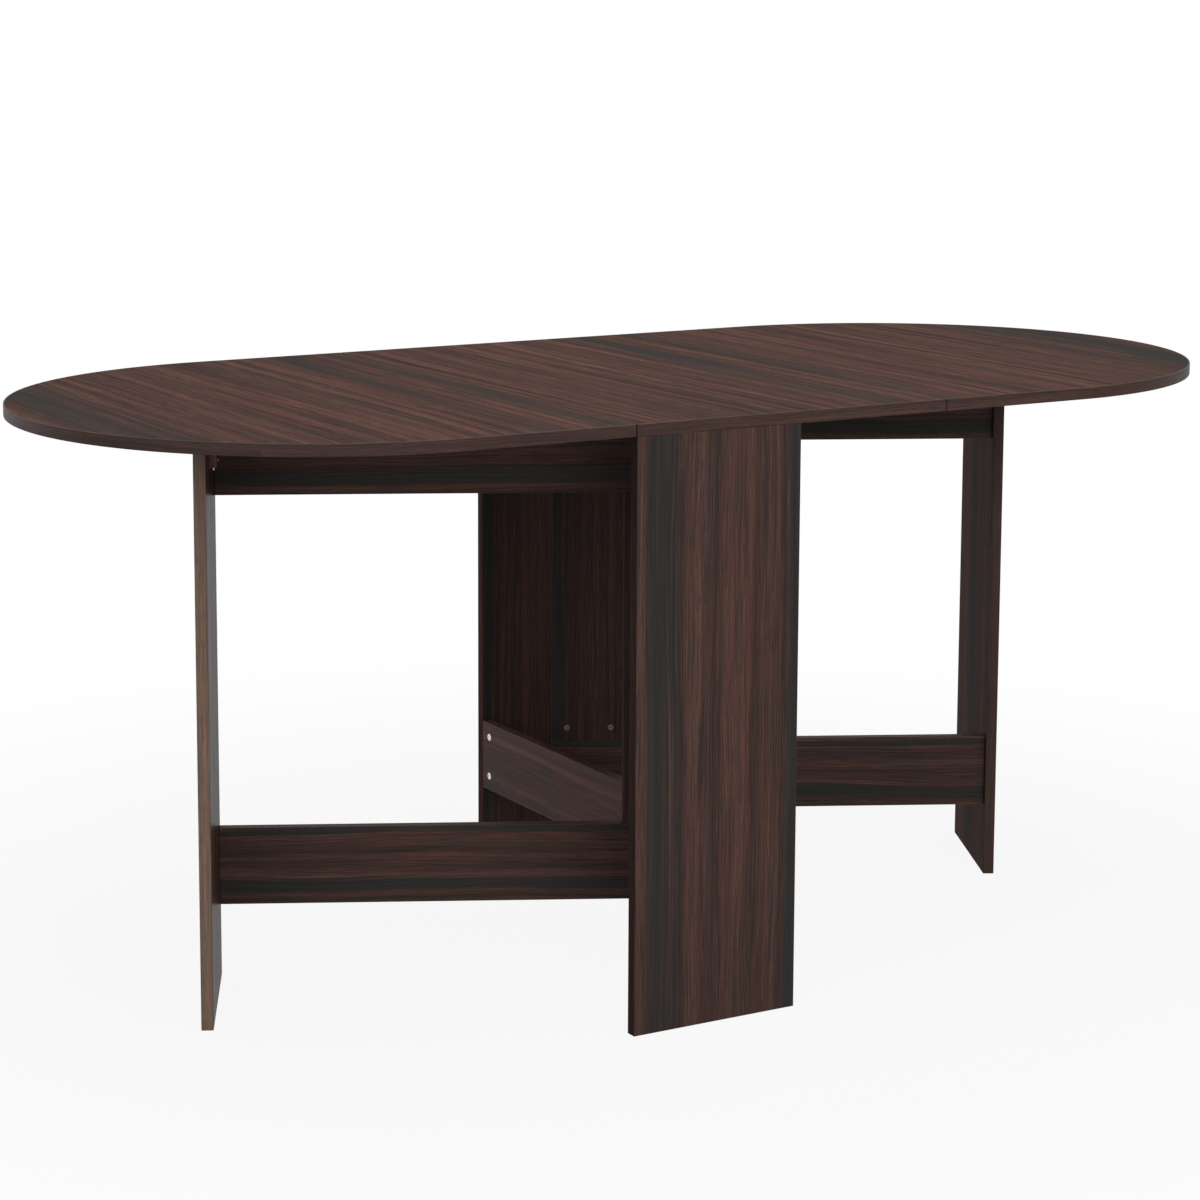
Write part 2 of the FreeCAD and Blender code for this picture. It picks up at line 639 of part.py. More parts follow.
def make_gate_fittings(side):
    """Makes the bushes, cam locks, bolts, dowels, screws and caps of one gate."""
    bushes = gate_body(side, "pivot_bushes")
    bore = "pivot_pin_diameter + 2 * pivot_fit"
    whole = "bush_length + bush_flange_thickness"
    for seat, upward in (("lower_rail_bottom", True), ("gate_top", False)):
        face = f"{seat} {'-' if upward else '+'} bush_flange_thickness"
        studs(bushes, "XY", seat, PIVOT_PLACE, "bush_flange_diameter", "bush_flange_thickness", not upward)
        studs(bushes, "XY", seat, PIVOT_PLACE, "bush_diameter", "bush_length", upward)
        drill(bushes, "XY", face, PIVOT_PLACE, bore, whole, upward)
    add_cams(gate_body(side, "stile_cams"), "XZ", "half_board", STILE_CAMS, False)
    bolts = gate_body(side, "stile_cam_bolts")
    length = "bolt_depth + bolt_reach"
    studs(bolts, "XY", "lower_rail_top - bolt_depth", STILE_BOLT_PLACES, "bolt_diameter", length)
    studs(bolts, "XY", "upper_rail_bottom + bolt_depth", STILE_BOLT_PLACES, "bolt_diameter", length, False)
    dowels = gate_body(side, "rail_dowels")
    screws = gate_body(side, "rail_screws")
    caps = gate_body(side, "rail_screw_caps")
    for bottom in GATE_RAILS.values():
        places = rail_screw_places(bottom)
        dowel_start = "gate_reach + dowel_depth"
        studs(dowels, "YZ", dowel_start, rail_dowel_place(bottom), "dowel_diameter", "dowel_length", False)
        seat = "leg_outer - rail_cap_thickness"
        studs(screws, "YZ", seat, places, "rail_screw_head", "rail_screw_head_height", False)
        shank = "rail_screw_length + rail_screw_head_height"
        studs(screws, "YZ", seat, places, "rail_screw_diameter", shank, False)
        studs(caps, "YZ", "leg_outer", places, "rail_screw_head", "rail_cap_thickness", False)


def make_leaf_rest(side):
    """Makes the plastic rest block on a leg's inner face, with its capped screws and its pin."""
    block = gate_body(side, "rest_block")
    sketch = new_sketch(block, "YZ", "gate_reach")
    add_rectangle(sketch, "rest_front - rest_length", "rest_bottom", "rest_length", "rest_height")
    body_pad = pad(block, sketch, "rest_depth", False)
    rounded = round_edges(
        block, body_pad, lambda box: box.XMax < body_pad.Shape.BoundBox.Center.x, "rest_rounding"
    )
    block.Tip = rounded
    seat = "gate_reach - rest_depth"
    sunk = "rest_cap_depth + rest_screw_head_height"
    drill(block, "YZ", seat, REST_SCREW_PLACES, "rest_screw_diameter", "rest_depth")
    drill(block, "YZ", seat, REST_SCREW_PLACES, "rest_screw_head", sunk)
    drill(block, "XY", "rest_bottom", REST_PIN_PLACE, "rest_pin_diameter", "rest_pin_depth")
    screws = gate_body(side, "rest_screws")
    head = f"{seat} + rest_cap_depth"
    studs(screws, "YZ", head, REST_SCREW_PLACES, "rest_screw_head", "rest_screw_head_height")
    shank = "rest_depth - rest_cap_depth + rest_screw_depth"
    studs(screws, "YZ", head, REST_SCREW_PLACES, "rest_screw_diameter", shank)
    caps = gate_body(side, "rest_caps")
    cap_length = "rest_cap_height + rest_cap_depth"
    studs(caps, "YZ", f"{seat} - rest_cap_height", REST_SCREW_PLACES, "rest_screw_head", cap_length)
    pin = gate_body(side, "rest_pin")
    pin_length = "rest_pin_drop + rest_pin_depth"
    studs(pin, "XY", "rest_bottom - rest_pin_drop", REST_PIN_PLACE, "rest_pin_diameter", pin_length)


def make_gate(side):
    """Makes one gate: leg, two rails, stile, fittings and rest block."""
    for name, bottom in GATE_RAILS.items():
        make_gate_rail(side, name, bottom)
    make_stile(side)
    make_leg(side)
    make_gate_fittings(side)
    make_leaf_rest(side)


def write_parts():
    """Checks every object of the document and writes each sub-part to its own file."""
    document.recompute()
    for item in document.Objects:
        if "Invalid" in item.State or "Error" in item.State:
            raise RuntimeError(f"{item.Label} did not build: {item.State}")
    os.makedirs("parts", exist_ok=True)
    for body in sub_parts:
        shape = body.Shape
        if shape.isNull() or not shape.isValid() or not shape.Solids:
            raise RuntimeError(f"{body.Label} has no sound solid")
        shape.exportStep(f"parts/{body.Label}.step")
        print(f"{body.Label}: {len(shape.Solids)} solid(s), {shape.Volume:.1f} mm3")


make_sheet()
make_centre_top()
make_end_panel("front_panel", 0)
make_end_panel("rear_panel", HALF_TURN)
for rail_name, rail_bottom in SPINE_RAILS.items():
    make_spine_rail(rail_name, rail_bottom)
make_base_fittings()
make_pivot_fittings()
for table_side in ("left", "right"):
    make_leaf_hinges(table_side)
    make_leaf(table_side)
    make_gate(table_side)
write_parts()
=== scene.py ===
"""Looks of a drop-leaf dining table on two swinging gates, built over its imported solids.

X runs along the table, Y to its back and Z up, in metres, with the origin on the floor under the middle of
the top. The boards get their printed laminate, edge bands and softened edges here, and the fittings their
finishes. Every board carries a UV map in metres, whose first axis runs along the printed grain.
"""

import logging
import math
from dataclasses import dataclass, field, replace
from enum import Enum
from typing import Optional, Union

import bmesh
import bpy
from bmesh.types import BMEdge, BMesh, BMFace
from bpy.types import Material, Node, NodeSocket, NodeTree, Object
from mathutils import Matrix, Vector


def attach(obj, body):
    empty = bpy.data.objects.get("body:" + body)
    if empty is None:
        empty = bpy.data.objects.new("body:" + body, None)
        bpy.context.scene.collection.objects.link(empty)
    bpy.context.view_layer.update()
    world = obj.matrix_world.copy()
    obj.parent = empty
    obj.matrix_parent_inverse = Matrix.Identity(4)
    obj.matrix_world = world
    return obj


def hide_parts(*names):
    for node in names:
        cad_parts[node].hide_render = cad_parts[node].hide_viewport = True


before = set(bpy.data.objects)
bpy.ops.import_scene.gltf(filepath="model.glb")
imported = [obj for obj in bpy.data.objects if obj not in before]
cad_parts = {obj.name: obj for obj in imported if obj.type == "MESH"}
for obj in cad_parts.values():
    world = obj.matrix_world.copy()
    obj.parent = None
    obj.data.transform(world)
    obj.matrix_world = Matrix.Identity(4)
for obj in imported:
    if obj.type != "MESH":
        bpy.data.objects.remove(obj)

LOG = logging.getLogger("drop_leaf_table")
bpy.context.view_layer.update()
BASE = "base"
GRAIN_MAP = "grain"
BAND_MARKS = "ABC"
BAND_INPUTS = tuple(f"{part} {mark}" for mark in BAND_MARKS for part in ("Band", "Width"))
NO_BAND = (9.0, 0.01)
NOISE_MIDDLE = 0.5
MERGE_DISTANCE = 1e-6
ON_LIMIT = 1e-5
FLUSH = 1e-4
FLAT_ANGLE = math.radians(0.5)
ROUND_ANGLE = math.radians(12.0)
IMAGE_SIDE = 1200.0
SENSOR_WIDTH = 36.0
X_AXIS = Vector((1.0, 0.0, 0.0))
Y_AXIS = Vector((0.0, 1.0, 0.0))
Z_AXIS = Vector((0.0, 0.0, 1.0))
ORIGIN = Vector((0.0, 0.0, 0.0))
VECTOR = "NodeSocketVector"
VALUE = "NodeSocketFloat"
COLOUR = "NodeSocketColor"

Socket = Union[NodeSocket, float]
Colour = tuple[float, float, float]
Point = tuple[float, float, float]
Range = tuple[float, float]
Bands = tuple[Range, ...]
Names = tuple[str, ...]
Stops = tuple[float, ...]
Sockets = dict[str, NodeSocket]
Fed = dict[Union[int, str], object]
Surface = tuple[NodeSocket, NodeSocket, NodeSocket]


class Side(Enum):
    """The two ends of the table, which are each other's half turn."""

    LEFT = "left"
    RIGHT = "right"

    @property
    def sign(self) -> int:
        """Gives the side's direction along X."""
        return -1 if self is Side.LEFT else 1

    @property
    def gate(self) -> str:
        """Names the body of the side's gate."""
        return f"{self.value}_gate"

    @property
    def leaf(self) -> str:
        """Names the body of the side's leaf."""
        return f"{self.value}_drop_leaf"


class Face(Enum):
    """The three kinds of face that a board has."""

    SHEET = 0
    LONG_EDGE = 1
    END = 2


class Slot(Enum):
    """The finishes that the part's record names."""

    TOP = "top_laminate"
    RIM = "rim_band"
    UPRIGHT = "upright_laminate"
    RAIL = "rail_laminate"
    DOWEL = "beech_dowel"
    BUSH = "bush_plastic"
    CAP = "cap_plastic"
    REST = "rest_plastic"
    RED = "red_plastic"
    CAM = "cam_zinc"
    PLATE = "plate_paint"
    STEEL = "fitting_steel"


class Graph:
    """A node tree that is filled with short calls."""

    MIX_FIRST = 6
    MIX_SECOND = 7
    MIX_RESULT = 2

    def __init__(self, tree: NodeTree) -> None:
        """Keeps the tree that the calls add to."""
        self.tree = tree

    def find(self, kind: str) -> Node:
        """Finds the first node of a type that the tree starts with."""
        return next(node for node in self.tree.nodes if node.type == kind)

    def add(self, kind: str, fed: Optional[Fed] = None, **settings: object) -> Node:
        """Adds one node.

        Args:
            kind: The node's type name.
            fed: What its inputs get, by their names or places.
            settings: Properties to set on the node.

        Returns:
            The new node.
        """
        node = self.tree.nodes.new(kind)
        for name, value in settings.items():
            setattr(node, name, value)
        self.wire(node, fed or {})
        return node

    def wire(self, node: Node, fed: Fed) -> None:
        """Feeds some of a node's inputs, by their names or places."""
        for key, value in fed.items():
            self.feed(node.inputs[key], value)

    def feed(self, socket: NodeSocket, value: object) -> None:
        """Links a socket to another one, or sets its value.

        Args:
            socket: The input to feed.
            value: An output socket, a number or a colour.
        """
        if isinstance(value, NodeSocket):
            self.tree.links.new(value, socket)
        elif isinstance(value, tuple) and len(value) == 3 and socket.type == "RGBA":
            socket.default_value = (*value, 1.0)
        else:
            socket.default_value = value

    def math(self, operation: str, first: Socket, second: Socket, clamp: bool = False) -> NodeSocket:
        """Adds a sum of two values, which is held between zero and one if it is clamped."""
        return self.add("ShaderNodeMath", {0: first, 1: second}, operation=operation, use_clamp=clamp).outputs[0]

    def weigh(self, values: tuple[NodeSocket, ...], shares: Stops) -> NodeSocket:
        """Adds values up by their shares.

        Args:
            values: The values.
            shares: Their shares, in the same order.

        Returns:
            The sum.
        """
        products = [self.math("MULTIPLY", value, share) for value, share in zip(values, shares)]
        total = products[0]
        for product in products[1:]:
            total = self.math("ADD", total, product)
        return total

    def combine(self, along: Socket, across: Socket, depth: Socket) -> NodeSocket:
        """Makes a vector of three values."""
        return self.add("ShaderNodeCombineXYZ", {0: along, 1: across, 2: depth}).outputs[0]

    def separate(self, vector: NodeSocket) -> list[NodeSocket]:
        """Splits a vector into its three values."""
        return list(self.add("ShaderNodeSeparateXYZ", {0: vector}).outputs)

    def noise(self, vector: NodeSocket, scale: float, detail: float = 2.0) -> NodeSocket:
        """Adds a smooth random pattern from zero to one, with finer layers by its detail."""
        return self.add("ShaderNodeTexNoise", {"Vector": vector, "Scale": scale, "Detail": detail}).outputs["Fac"]

    def spread(
        self, value: NodeSocket, low: Socket, high: Socket, start: Socket = 0.0, end: Socket = 1.0
    ) -> NodeSocket:
        """Maps a value smoothly from the range between low and high to the one between start and end."""
        fed = {"Value": value, "From Min": low, "From Max": high, "To Min": start, "To Max": end}
        return self.add("ShaderNodeMapRange", fed, interpolation_type="SMOOTHSTEP").outputs["Result"]

    def ramp(self, factor: NodeSocket, stops: Stops, colours: tuple[Colour, ...]) -> NodeSocket:
        """Colours a value by a row of stops.

        Args:
            factor: The value.
            stops: Places from zero to one.
            colours: The colours at those places.

        Returns:
            The colour.
        """
        node = self.add("ShaderNodeValToRGB", {"Fac": factor})
        elements = node.color_ramp.elements
        while len(elements) < len(stops):
            elements.new(1.0)
        for element, place, colour in zip(elements, stops, colours):
            element.position = place
            element.color = (*colour, 1.0)
        return node.outputs["Color"]

    def mix(self, factor: Socket, first: object, second: object, blend: str = "MIX") -> NodeSocket:
        """Mixes two colours, with the factor as the second one's share."""
        fed = {"Factor": factor, self.MIX_FIRST: first, self.MIX_SECOND: second}
        return self.add("ShaderNodeMix", fed, data_type="RGBA", blend_type=blend).outputs[self.MIX_RESULT]

    def bump(self, height: NodeSocket, strength: float, depth: float) -> NodeSocket:
        """Turns a height into a normal, where the depth is what a height of one stands for in metres."""
        fed = {"Height": height, "Strength": strength, "Distance": depth}
        return self.add("ShaderNodeBump", fed).outputs["Normal"]

    def group(self, tree: NodeTree, fed: Fed) -> Node:
        """Places a node group."""
        return self.add("ShaderNodeGroup", fed, node_tree=tree)


@dataclass(frozen=True)
class Pattern:
    """A surface pattern that materials share: a node group with a colour, a roughness and a height."""

    name: str
    colours: Names
    values: Names

    def tree(self) -> NodeTree:
        """Builds the group once, and gives it again after that.

        Returns:
            The node group.
        """
        known = bpy.data.node_groups.get(self.name)
        if known:
            return known
        tree = bpy.data.node_groups.new(self.name, "ShaderNodeTree")
        inputs = {"Vector": VECTOR, **dict.fromkeys(self.colours, COLOUR), **dict.fromkeys(self.values, VALUE)}
        outputs = {"Color": COLOUR, "Roughness": VALUE, "Height": VALUE}
        for direction, sockets in (("INPUT", inputs), ("OUTPUT", outputs)):
            for name, kind in sockets.items():
                tree.interface.new_socket(name, in_out=direction, socket_type=kind)
        graph = Graph(tree)
        given = {socket.name: socket for socket in graph.add("NodeGroupInput").outputs if socket.name}
        graph.add("NodeGroupOutput", dict(zip(outputs, self.fill(graph, given))))
        return tree

    def fill(self, graph: Graph, given: Sockets) -> Surface:
        """Fills the group, which each kind of pattern does in its own way.

        Args:
            graph: The group's graph.
            given: The group's inputs.

        Returns:
            The colour, the roughness and the height.
        """
        raise NotImplementedError


@dataclass(frozen=True)
class Streaks:
    """One layer of streaks: its length and width in metres, and the depth at which its noise is read."""

    length: float
    width: float
    depth: float


@dataclass(frozen=True)
class GrainField:
    """The place along the grain, and the board's seed, at which streaks are read."""

    graph: Graph
    along: NodeSocket
    seed: NodeSocket
    detail: float = 1.0

    def read(self, streaks: Streaks, across: Socket) -> NodeSocket:
        """Adds a layer of noise that is drawn out along the grain.

        Args:
            streaks: The layer's sizes.
            across: The place across the grain.

        Returns:
            The noise, from zero to one.
        """
        where = self.graph.combine(
            self.graph.math("DIVIDE", self.along, streaks.length),
            self.graph.math("DIVIDE", across, streaks.width),
            self.graph.math("ADD", self.seed, streaks.depth),
        )
        return self.graph.noise(where, 1.0, self.detail)

    def shift(self, streaks: Streaks, across: Socket, reach: float) -> NodeSocket:
        """Adds a sideways shift that changes slowly along the grain, over a reach in metres."""
        centred = self.graph.math("SUBTRACT", self.read(streaks, across), NOISE_MIDDLE)
        return self.graph.math("MULTIPLY", centred, reach)


@dataclass(frozen=True)
class RosewoodPrint(Pattern):
    """The printed rosewood of the laminate: fine red-brown streaks between greenish black bands."""

    name: str = "rosewood_print"
    colours: Names = ("Tint",)
    values: Names = ("Seed", "Band Share", "Fade", "Calm", "Dulling", *BAND_INPUTS)
    darkest: Colour = (0.0290, 0.0225, 0.0212)
    brown: Colour = (0.0545, 0.0335, 0.0285)
    red: Colour = (0.1010, 0.0495, 0.0392)
    pale: Colour = (0.1380, 0.0770, 0.0620)
    band: Colour = (0.0195, 0.0204, 0.0190)
    band_pale: Colour = (0.0370, 0.0345, 0.0312)
    cool_zone: Colour = (0.66, 0.73, 0.76)
    red_zone: Colour = (0.90, 0.80, 0.79)
    tan_zone: Colour = (1.00, 0.99, 0.95)
    plain: Colour = (0.0600, 0.0352, 0.0292)
    long_sway: Streaks = Streaks(0.70, 0.16, 1.0)
    long_reach: float = 0.024
    short_sway: Streaks = Streaks(0.16, 0.050, 2.0)
    short_reach: float = 0.0060
    flame: Streaks = Streaks(0.34, 0.030, 8.0)
    flame_reach: float = 0.013
    broad: Streaks = Streaks(1.2, 0.014, 3.0)
    middle: Streaks = Streaks(0.50, 0.0040, 4.0)
    fine: Streaks = Streaks(0.14, 0.0015, 5.0)
    hair: Streaks = Streaks(0.045, 0.0009, 11.0)
    wood_shares: Stops = (0.26, 0.15, 0.35, 0.24)
    wood_stops: Stops = (0.405, 0.47, 0.53, 0.61)
    zones: Streaks = Streaks(1.5, 0.022, 10.0)
    zone_stops: Stops = (0.39, 0.50, 0.61)
    dark_shares: Stops = (0.6, 0.4)
    dark_stops: Stops = (0.38, 0.64)
    wander: Streaks = Streaks(1.1, 0.085, 7.0)
    wander_gain: float = 6.0
    fraying: float = 0.9
    tearing: float = 2.6
    crisp_side: Range = (-1.12, -0.82)
    soft_side: Range = (0.50, 1.50)
    thin_range: Range = (0.30, 0.46)
    thin_share: float = 0.62
    patches: Streaks = Streaks(0.42, 0.045, 9.0)
    patch_range: Range = (0.40, 0.60)
    flecks: Streaks = Streaks(0.018, 0.0013, 6.0)
    fleck_range: Range = (0.50, 0.68)
    pit_share: float = 0.44
    fine_range: Range = (0.2, 0.8)
    roughness_range: Range = (0.44, 0.56)
    fine_height: float = 0.5

    def fill(self, graph: Graph, given: Sockets) -> Surface:
        """Prints the wood and its bands, with the first coordinate along the grain, in metres.

        Args:
            graph: The group's graph.
            given: The group's inputs.

        Returns:
            The colour, the roughness and the height.
        """
        along, across, _ = graph.separate(given["Vector"])
        grain = GrainField(graph, along, given["Seed"])
        long_shift = grain.shift(self.long_sway, across, self.long_reach)
        short_shift = grain.shift(self.short_sway, across, self.short_reach)
        swayed = graph.math("ADD", across, graph.math("ADD", long_shift, short_shift))
        flamed = graph.math("ADD", swayed, grain.shift(self.flame, across, self.flame_reach))
        layers = (self.broad, self.middle, self.fine, self.hair, self.flecks)
        broad, middle, fine, hair, flecks = (grain.read(layer, flamed) for layer in layers)
        warm = graph.weigh((broad, middle, fine, hair), self.wood_shares)
        wood = graph.ramp(warm, self.wood_stops, (self.darkest, self.brown, self.red, self.pale))
        zone_colours = (self.cool_zone, self.red_zone, self.tan_zone)
        zones = graph.ramp(grain.read(self.zones, flamed), self.zone_stops, zone_colours)
        wood = graph.mix(given["Calm"], graph.mix(1.0, wood, zones, "MULTIPLY"), self.plain)
        shaded = graph.weigh((middle, fine), self.dark_shares)
        dark = graph.ramp(shaded, self.dark_stops, (self.band, self.band_pale))
        colour = graph.mix(self.band_mask(grain, given, swayed, middle), wood, dark)
        pits = graph.spread(flecks, *self.fleck_range, 0.0, self.pit_share)
        colour = graph.mix(1.0, graph.mix(pits, colour, self.darkest), given["Tint"], "MULTIPLY")
        satin = graph.spread(fine, *self.fine_range, *self.roughness_range)
        height = graph.math("SUBTRACT", graph.math("MULTIPLY", fine, self.fine_height), pits)
        return colour, graph.math("ADD", satin, given["Dulling"], clamp=True), height

    def band_mask(self, grain: GrainField, given: Sockets, swayed: NodeSocket, middle: NodeSocket) -> NodeSocket:
        """Finds the dark bands: those with set places, crisp on one side, and others here and there.

        Args:
            grain: Where the streaks are read.
            given: The group's inputs.
            swayed: The place across the grain, with the grain's sway.
            middle: The middle streaks, which fray the bands.

        Returns:
            A mask that is one inside a band.
        """
        graph = grain.graph
        share = graph.math("SUBTRACT", 1.0, given["Band Share"])
        wander = graph.spread(grain.read(self.wander, swayed), share, 1.0)
        mask = graph.math("MULTIPLY", wander, self.wander_gain, clamp=True)
        frayed = graph.math("MULTIPLY", graph.math("SUBTRACT", middle, NOISE_MIDDLE), self.fraying)
        torn = graph.math("MULTIPLY", frayed, self.tearing)
        for mark in BAND_MARKS:
            away = graph.math("SUBTRACT", swayed, given[f"Band {mark}"])
            reach = graph.math("DIVIDE", away, graph.math("MULTIPLY", given[f"Width {mark}"], 0.5))
            crisp = graph.spread(graph.math("ADD", reach, frayed), *self.crisp_side)
            soft = graph.spread(graph.math("ADD", reach, torn), *self.soft_side, 1.0, 0.0)
            mask = graph.math("MAXIMUM", mask, graph.math("MULTIPLY", crisp, soft))
        mask = graph.math("MULTIPLY", mask, graph.spread(middle, *self.thin_range, self.thin_share, 1.0))
        patches = graph.spread(grain.read(self.patches, swayed), *self.patch_range)
        faded = graph.math("MULTIPLY", given["Fade"], graph.math("SUBTRACT", 1.0, patches))
        return graph.math("MULTIPLY", mask, graph.math("SUBTRACT", 1.0, faded))


@dataclass(frozen=True)
class Skin(Pattern):
    """The fine skin of a plain material: a grain, drawn out along Y where it is brushed, and a slow change."""

    name: str
    colours: Names = ("First", "Second")
    values: Names = ("Smooth", "Rough")
    grain_scale: float = 1400.0
    grain_detail: float = 2.0
    grain_range: Range = (0.3, 0.7)
    stretch: float = 1.0
    change_scale: float = 90.0
    change_detail: float = 2.0
    change_range: Range = (0.3, 0.7)

    def fill(self, graph: Graph, given: Sockets) -> Surface:
        """Changes between the two colours slowly, and between smooth and rough by the grain.

        Args:
            graph: The group's graph.
            given: The group's inputs.

        Returns:
            The colour, the roughness and the height.
        """
        east, north, up = graph.separate(given["Vector"])
        drawn_out = graph.combine(east, graph.math("MULTIPLY", north, self.stretch), up)
        grain = graph.noise(drawn_out, self.grain_scale, self.grain_detail)
        change = graph.noise(given["Vector"], self.change_scale, self.change_detail)
        colour = graph.mix(graph.spread(change, *self.change_range), given["First"], given["Second"])
        return colour, graph.spread(grain, *self.grain_range, given["Smooth"], given["Rough"]), grain


PRINT = RosewoodPrint()
MOULDED = Skin("moulded_skin")
BRUSHED = Skin(
    "brushed_skin",
    grain_scale=900.0,
    grain_detail=3.0,
    grain_range=(0.2, 0.8),
    stretch=0.12,
    change_scale=120.0,
    change_range=(0.35, 0.7),
)
CAST = replace(BRUSHED, name="cast_skin", grain_scale=500.0)
PORES = Skin(
    "beech_pores",
    grain_scale=700.0,
    grain_detail=3.0,
    change_scale=700.0,
    change_detail=3.0,
    change_range=(0.35, 0.65),
)


def new_material(name: str) -> tuple[Material, Graph, Node]:
    """Starts a material with a Principled shader.

    Args:
        name: The material's name.

    Returns:
        The material, its graph and its shader node.
    """
    material = bpy.data.materials.new(name)
    material.use_nodes = True
    graph = Graph(material.node_tree)
    return material, graph, graph.find("BSDF_PRINCIPLED")


@dataclass(frozen=True)
class Finish:
    """A finish of some pieces, with the slot of the record that it stands for.

    The relief is how strongly the bump shows, and what a height of one stands for in metres.
    """

    name: str
    slot: Slot
    gloss: float = field(default=0.5, kw_only=True)
    metallic: float = field(default=0.0, kw_only=True)
    relief: Range = field(default=(0.3, 0.0001), kw_only=True)

    def material(self) -> Material:
        """Builds the finish's material once, and gives it again after that.

        Returns:
            The material.
        """
        known = bpy.data.materials.get(self.name)
        if known:
            return known
        material, graph, shader = new_material(self.name)
        pattern = self.lay(graph).outputs
        looks = {
            "Base Color": pattern["Color"],
            "Roughness": pattern["Roughness"],
            "Normal": graph.bump(pattern["Height"], *self.relief),
            "Specular IOR Level": self.gloss,
            "Metallic": self.metallic,
        }
        graph.wire(shader, looks)
        return material

    def lay(self, graph: Graph) -> Node:
        """Lays the finish's pattern, which each kind of finish does in its own way.

        Args:
            graph: The material's graph.

        Returns:
            The pattern's node.
        """
        raise NotImplementedError


@dataclass(frozen=True)
class Laminate(Finish):
    """One board's printed face, with its dark bands where they lie across the grain."""

    seed: float
    bands: Bands = ()
    band_share: float = 0.10
    tint: Colour = (1.0, 1.0, 1.0)
    dulling: float = 0.0
    fade: float = 0.15
    calm: float = 0.2
    gloss: float = field(default=0.08, kw_only=True)
    relief: Range = field(default=(0.35, 0.00012), kw_only=True)

    def lay(self, graph: Graph) -> Node:
        """Lays the print by the board's own map.

        Args:
            graph: The material's graph.

        Returns:
            The print's node.
        """
        where = graph.add("ShaderNodeUVMap", uv_map=GRAIN_MAP).outputs["UV"]
        values = {"Vector": where, "Tint": self.tint, "Seed": self.seed, "Band Share": self.band_share}
        values.update({"Fade": self.fade, "Calm": self.calm, "Dulling": self.dulling})
        for mark, (centre, width) in zip(BAND_MARKS, (*self.bands, NO_BAND, NO_BAND, NO_BAND)):
            values.update({f"Band {mark}": centre, f"Width {mark}": width})
        return graph.group(PRINT.tree(), values)


@dataclass(frozen=True)
class Skinned(Finish):
    """A finish of one colour, whose skin shades it and makes it smoother and rougher."""

    colour: Colour
    roughness: float
    skin: Skin
    shade: float
    stray: Range

    def second(self) -> Colour:
        """Gives the colour that the skin changes to."""
        return tuple(self.shade * part for part in self.colour)

    def lay(self, graph: Graph) -> Node:
        """Lays the skin by the piece's own coordinates.

        Args:
            graph: The material's graph.

        Returns:
            The skin's node.
        """
        values = {
            "Vector": graph.add("ShaderNodeTexCoord").outputs["Object"],
            "First": self.colour,
            "Second": self.second(),
            "Smooth": self.roughness + self.stray[0],
            "Rough": self.roughness + self.stray[1],
        }
        return graph.group(self.skin.tree(), values)


@dataclass(frozen=True)
class Metal(Skinned):
    """A bare or plated metal with fine brushing and a little tarnish."""

    skin: Skin = BRUSHED
    shade: float = 0.80
    stray: Range = (-0.08, 0.10)
    metallic: float = field(default=1.0, kw_only=True)
    relief: Range = field(default=(0.08, 0.00005), kw_only=True)


@dataclass(frozen=True)
class Plastic(Skinned):
    """A moulded plastic or a sprayed paint, with a fine grained skin."""

    skin: Skin = MOULDED
    shade: float = 1.18
    stray: Range = (-0.05, 0.08)
    gloss: float = field(default=0.4, kw_only=True)
    relief: Range = field(default=(0.25, 0.00006), kw_only=True)


@dataclass(frozen=True)
class Beech(Skinned):
    """Plain beech of a dowel, with fine dark pores."""

    skin: Skin = PORES
    shade: float = 1.0
    stray: Range = (-0.05, 0.10)
    dark: Colour = (0.33, 0.20, 0.11)

    def second(self) -> Colour:
        """Gives the colour of the pores."""
        return self.dark


STEEL = Metal("zinc_plated_steel", Slot.STEEL, (0.60, 0.60, 0.61), 0.30)
HINGE_STEEL = Metal("stamped_hinge_steel", Slot.STEEL, (0.42, 0.42, 0.425), 0.38)
CAM_ZINC = Metal("cast_zinc", Slot.CAM, (0.72, 0.71, 0.70), 0.34, CAST)
# Painted shade: the stile cams are the same cast zinc as the other cams, coloured about four times darker for the
# shade they sit in, and their sloped rims darker still.
SHADE_DARKENED_ZINC = Metal("dull_cast_zinc", Slot.CAM, (0.17, 0.137, 0.118), 0.50, CAST)
SHADED_ZINC = Metal("shaded_cast_zinc", Slot.CAM, (0.050, 0.040, 0.036), 0.60, CAST)
# Painted shade: the pivot plates are coloured nearly black, so that they show as the shade round the pivots.
PLATE = Plastic("dark_plate_paint", Slot.PLATE, (0.018, 0.0145, 0.0135), 0.7, gloss=0.03)
BUSH = Plastic("bush_nylon", Slot.BUSH, (0.62, 0.60, 0.55), 0.5)
CAP = Plastic("brown_cap", Slot.CAP, (0.045, 0.027, 0.022), 0.45)
REST = Plastic("maroon_rest", Slot.REST, (0.075, 0.008, 0.016), 0.38)
RED = Plastic("red_cap", Slot.RED, (0.45, 0.006, 0.010), 0.35)
DOWEL = Beech("beech_dowel_wood", Slot.DOWEL, (0.50, 0.34, 0.20), 0.65)


def dress_node(node: str, finish: Finish) -> None:
    """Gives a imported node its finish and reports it.

    Args:
        node: The node's name.
        finish: The finish.
    """
    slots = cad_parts[node].data.materials
    slots.clear()
    slots.append(finish.material())
    LOG.info("dressed %s in %s", node, finish.name)


def copy_node(node: str, join_flat: bool = True) -> BMesh:
    """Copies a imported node's mesh and merges its corners.

    Args:
        node: The node's name.
        join_flat: Whether the triangles of each flat face are joined.

    Returns:
        The copy.
    """
    shape = bmesh.new()
    shape.from_mesh(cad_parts[node].data)
    bmesh.ops.remove_doubles(shape, verts=shape.verts, dist=MERGE_DISTANCE)
    if join_flat:
        bmesh.ops.dissolve_limit(
            shape, angle_limit=FLAT_ANGLE, use_dissolve_boundaries=False, verts=shape.verts, edges=shape.edges
        )
    return shape


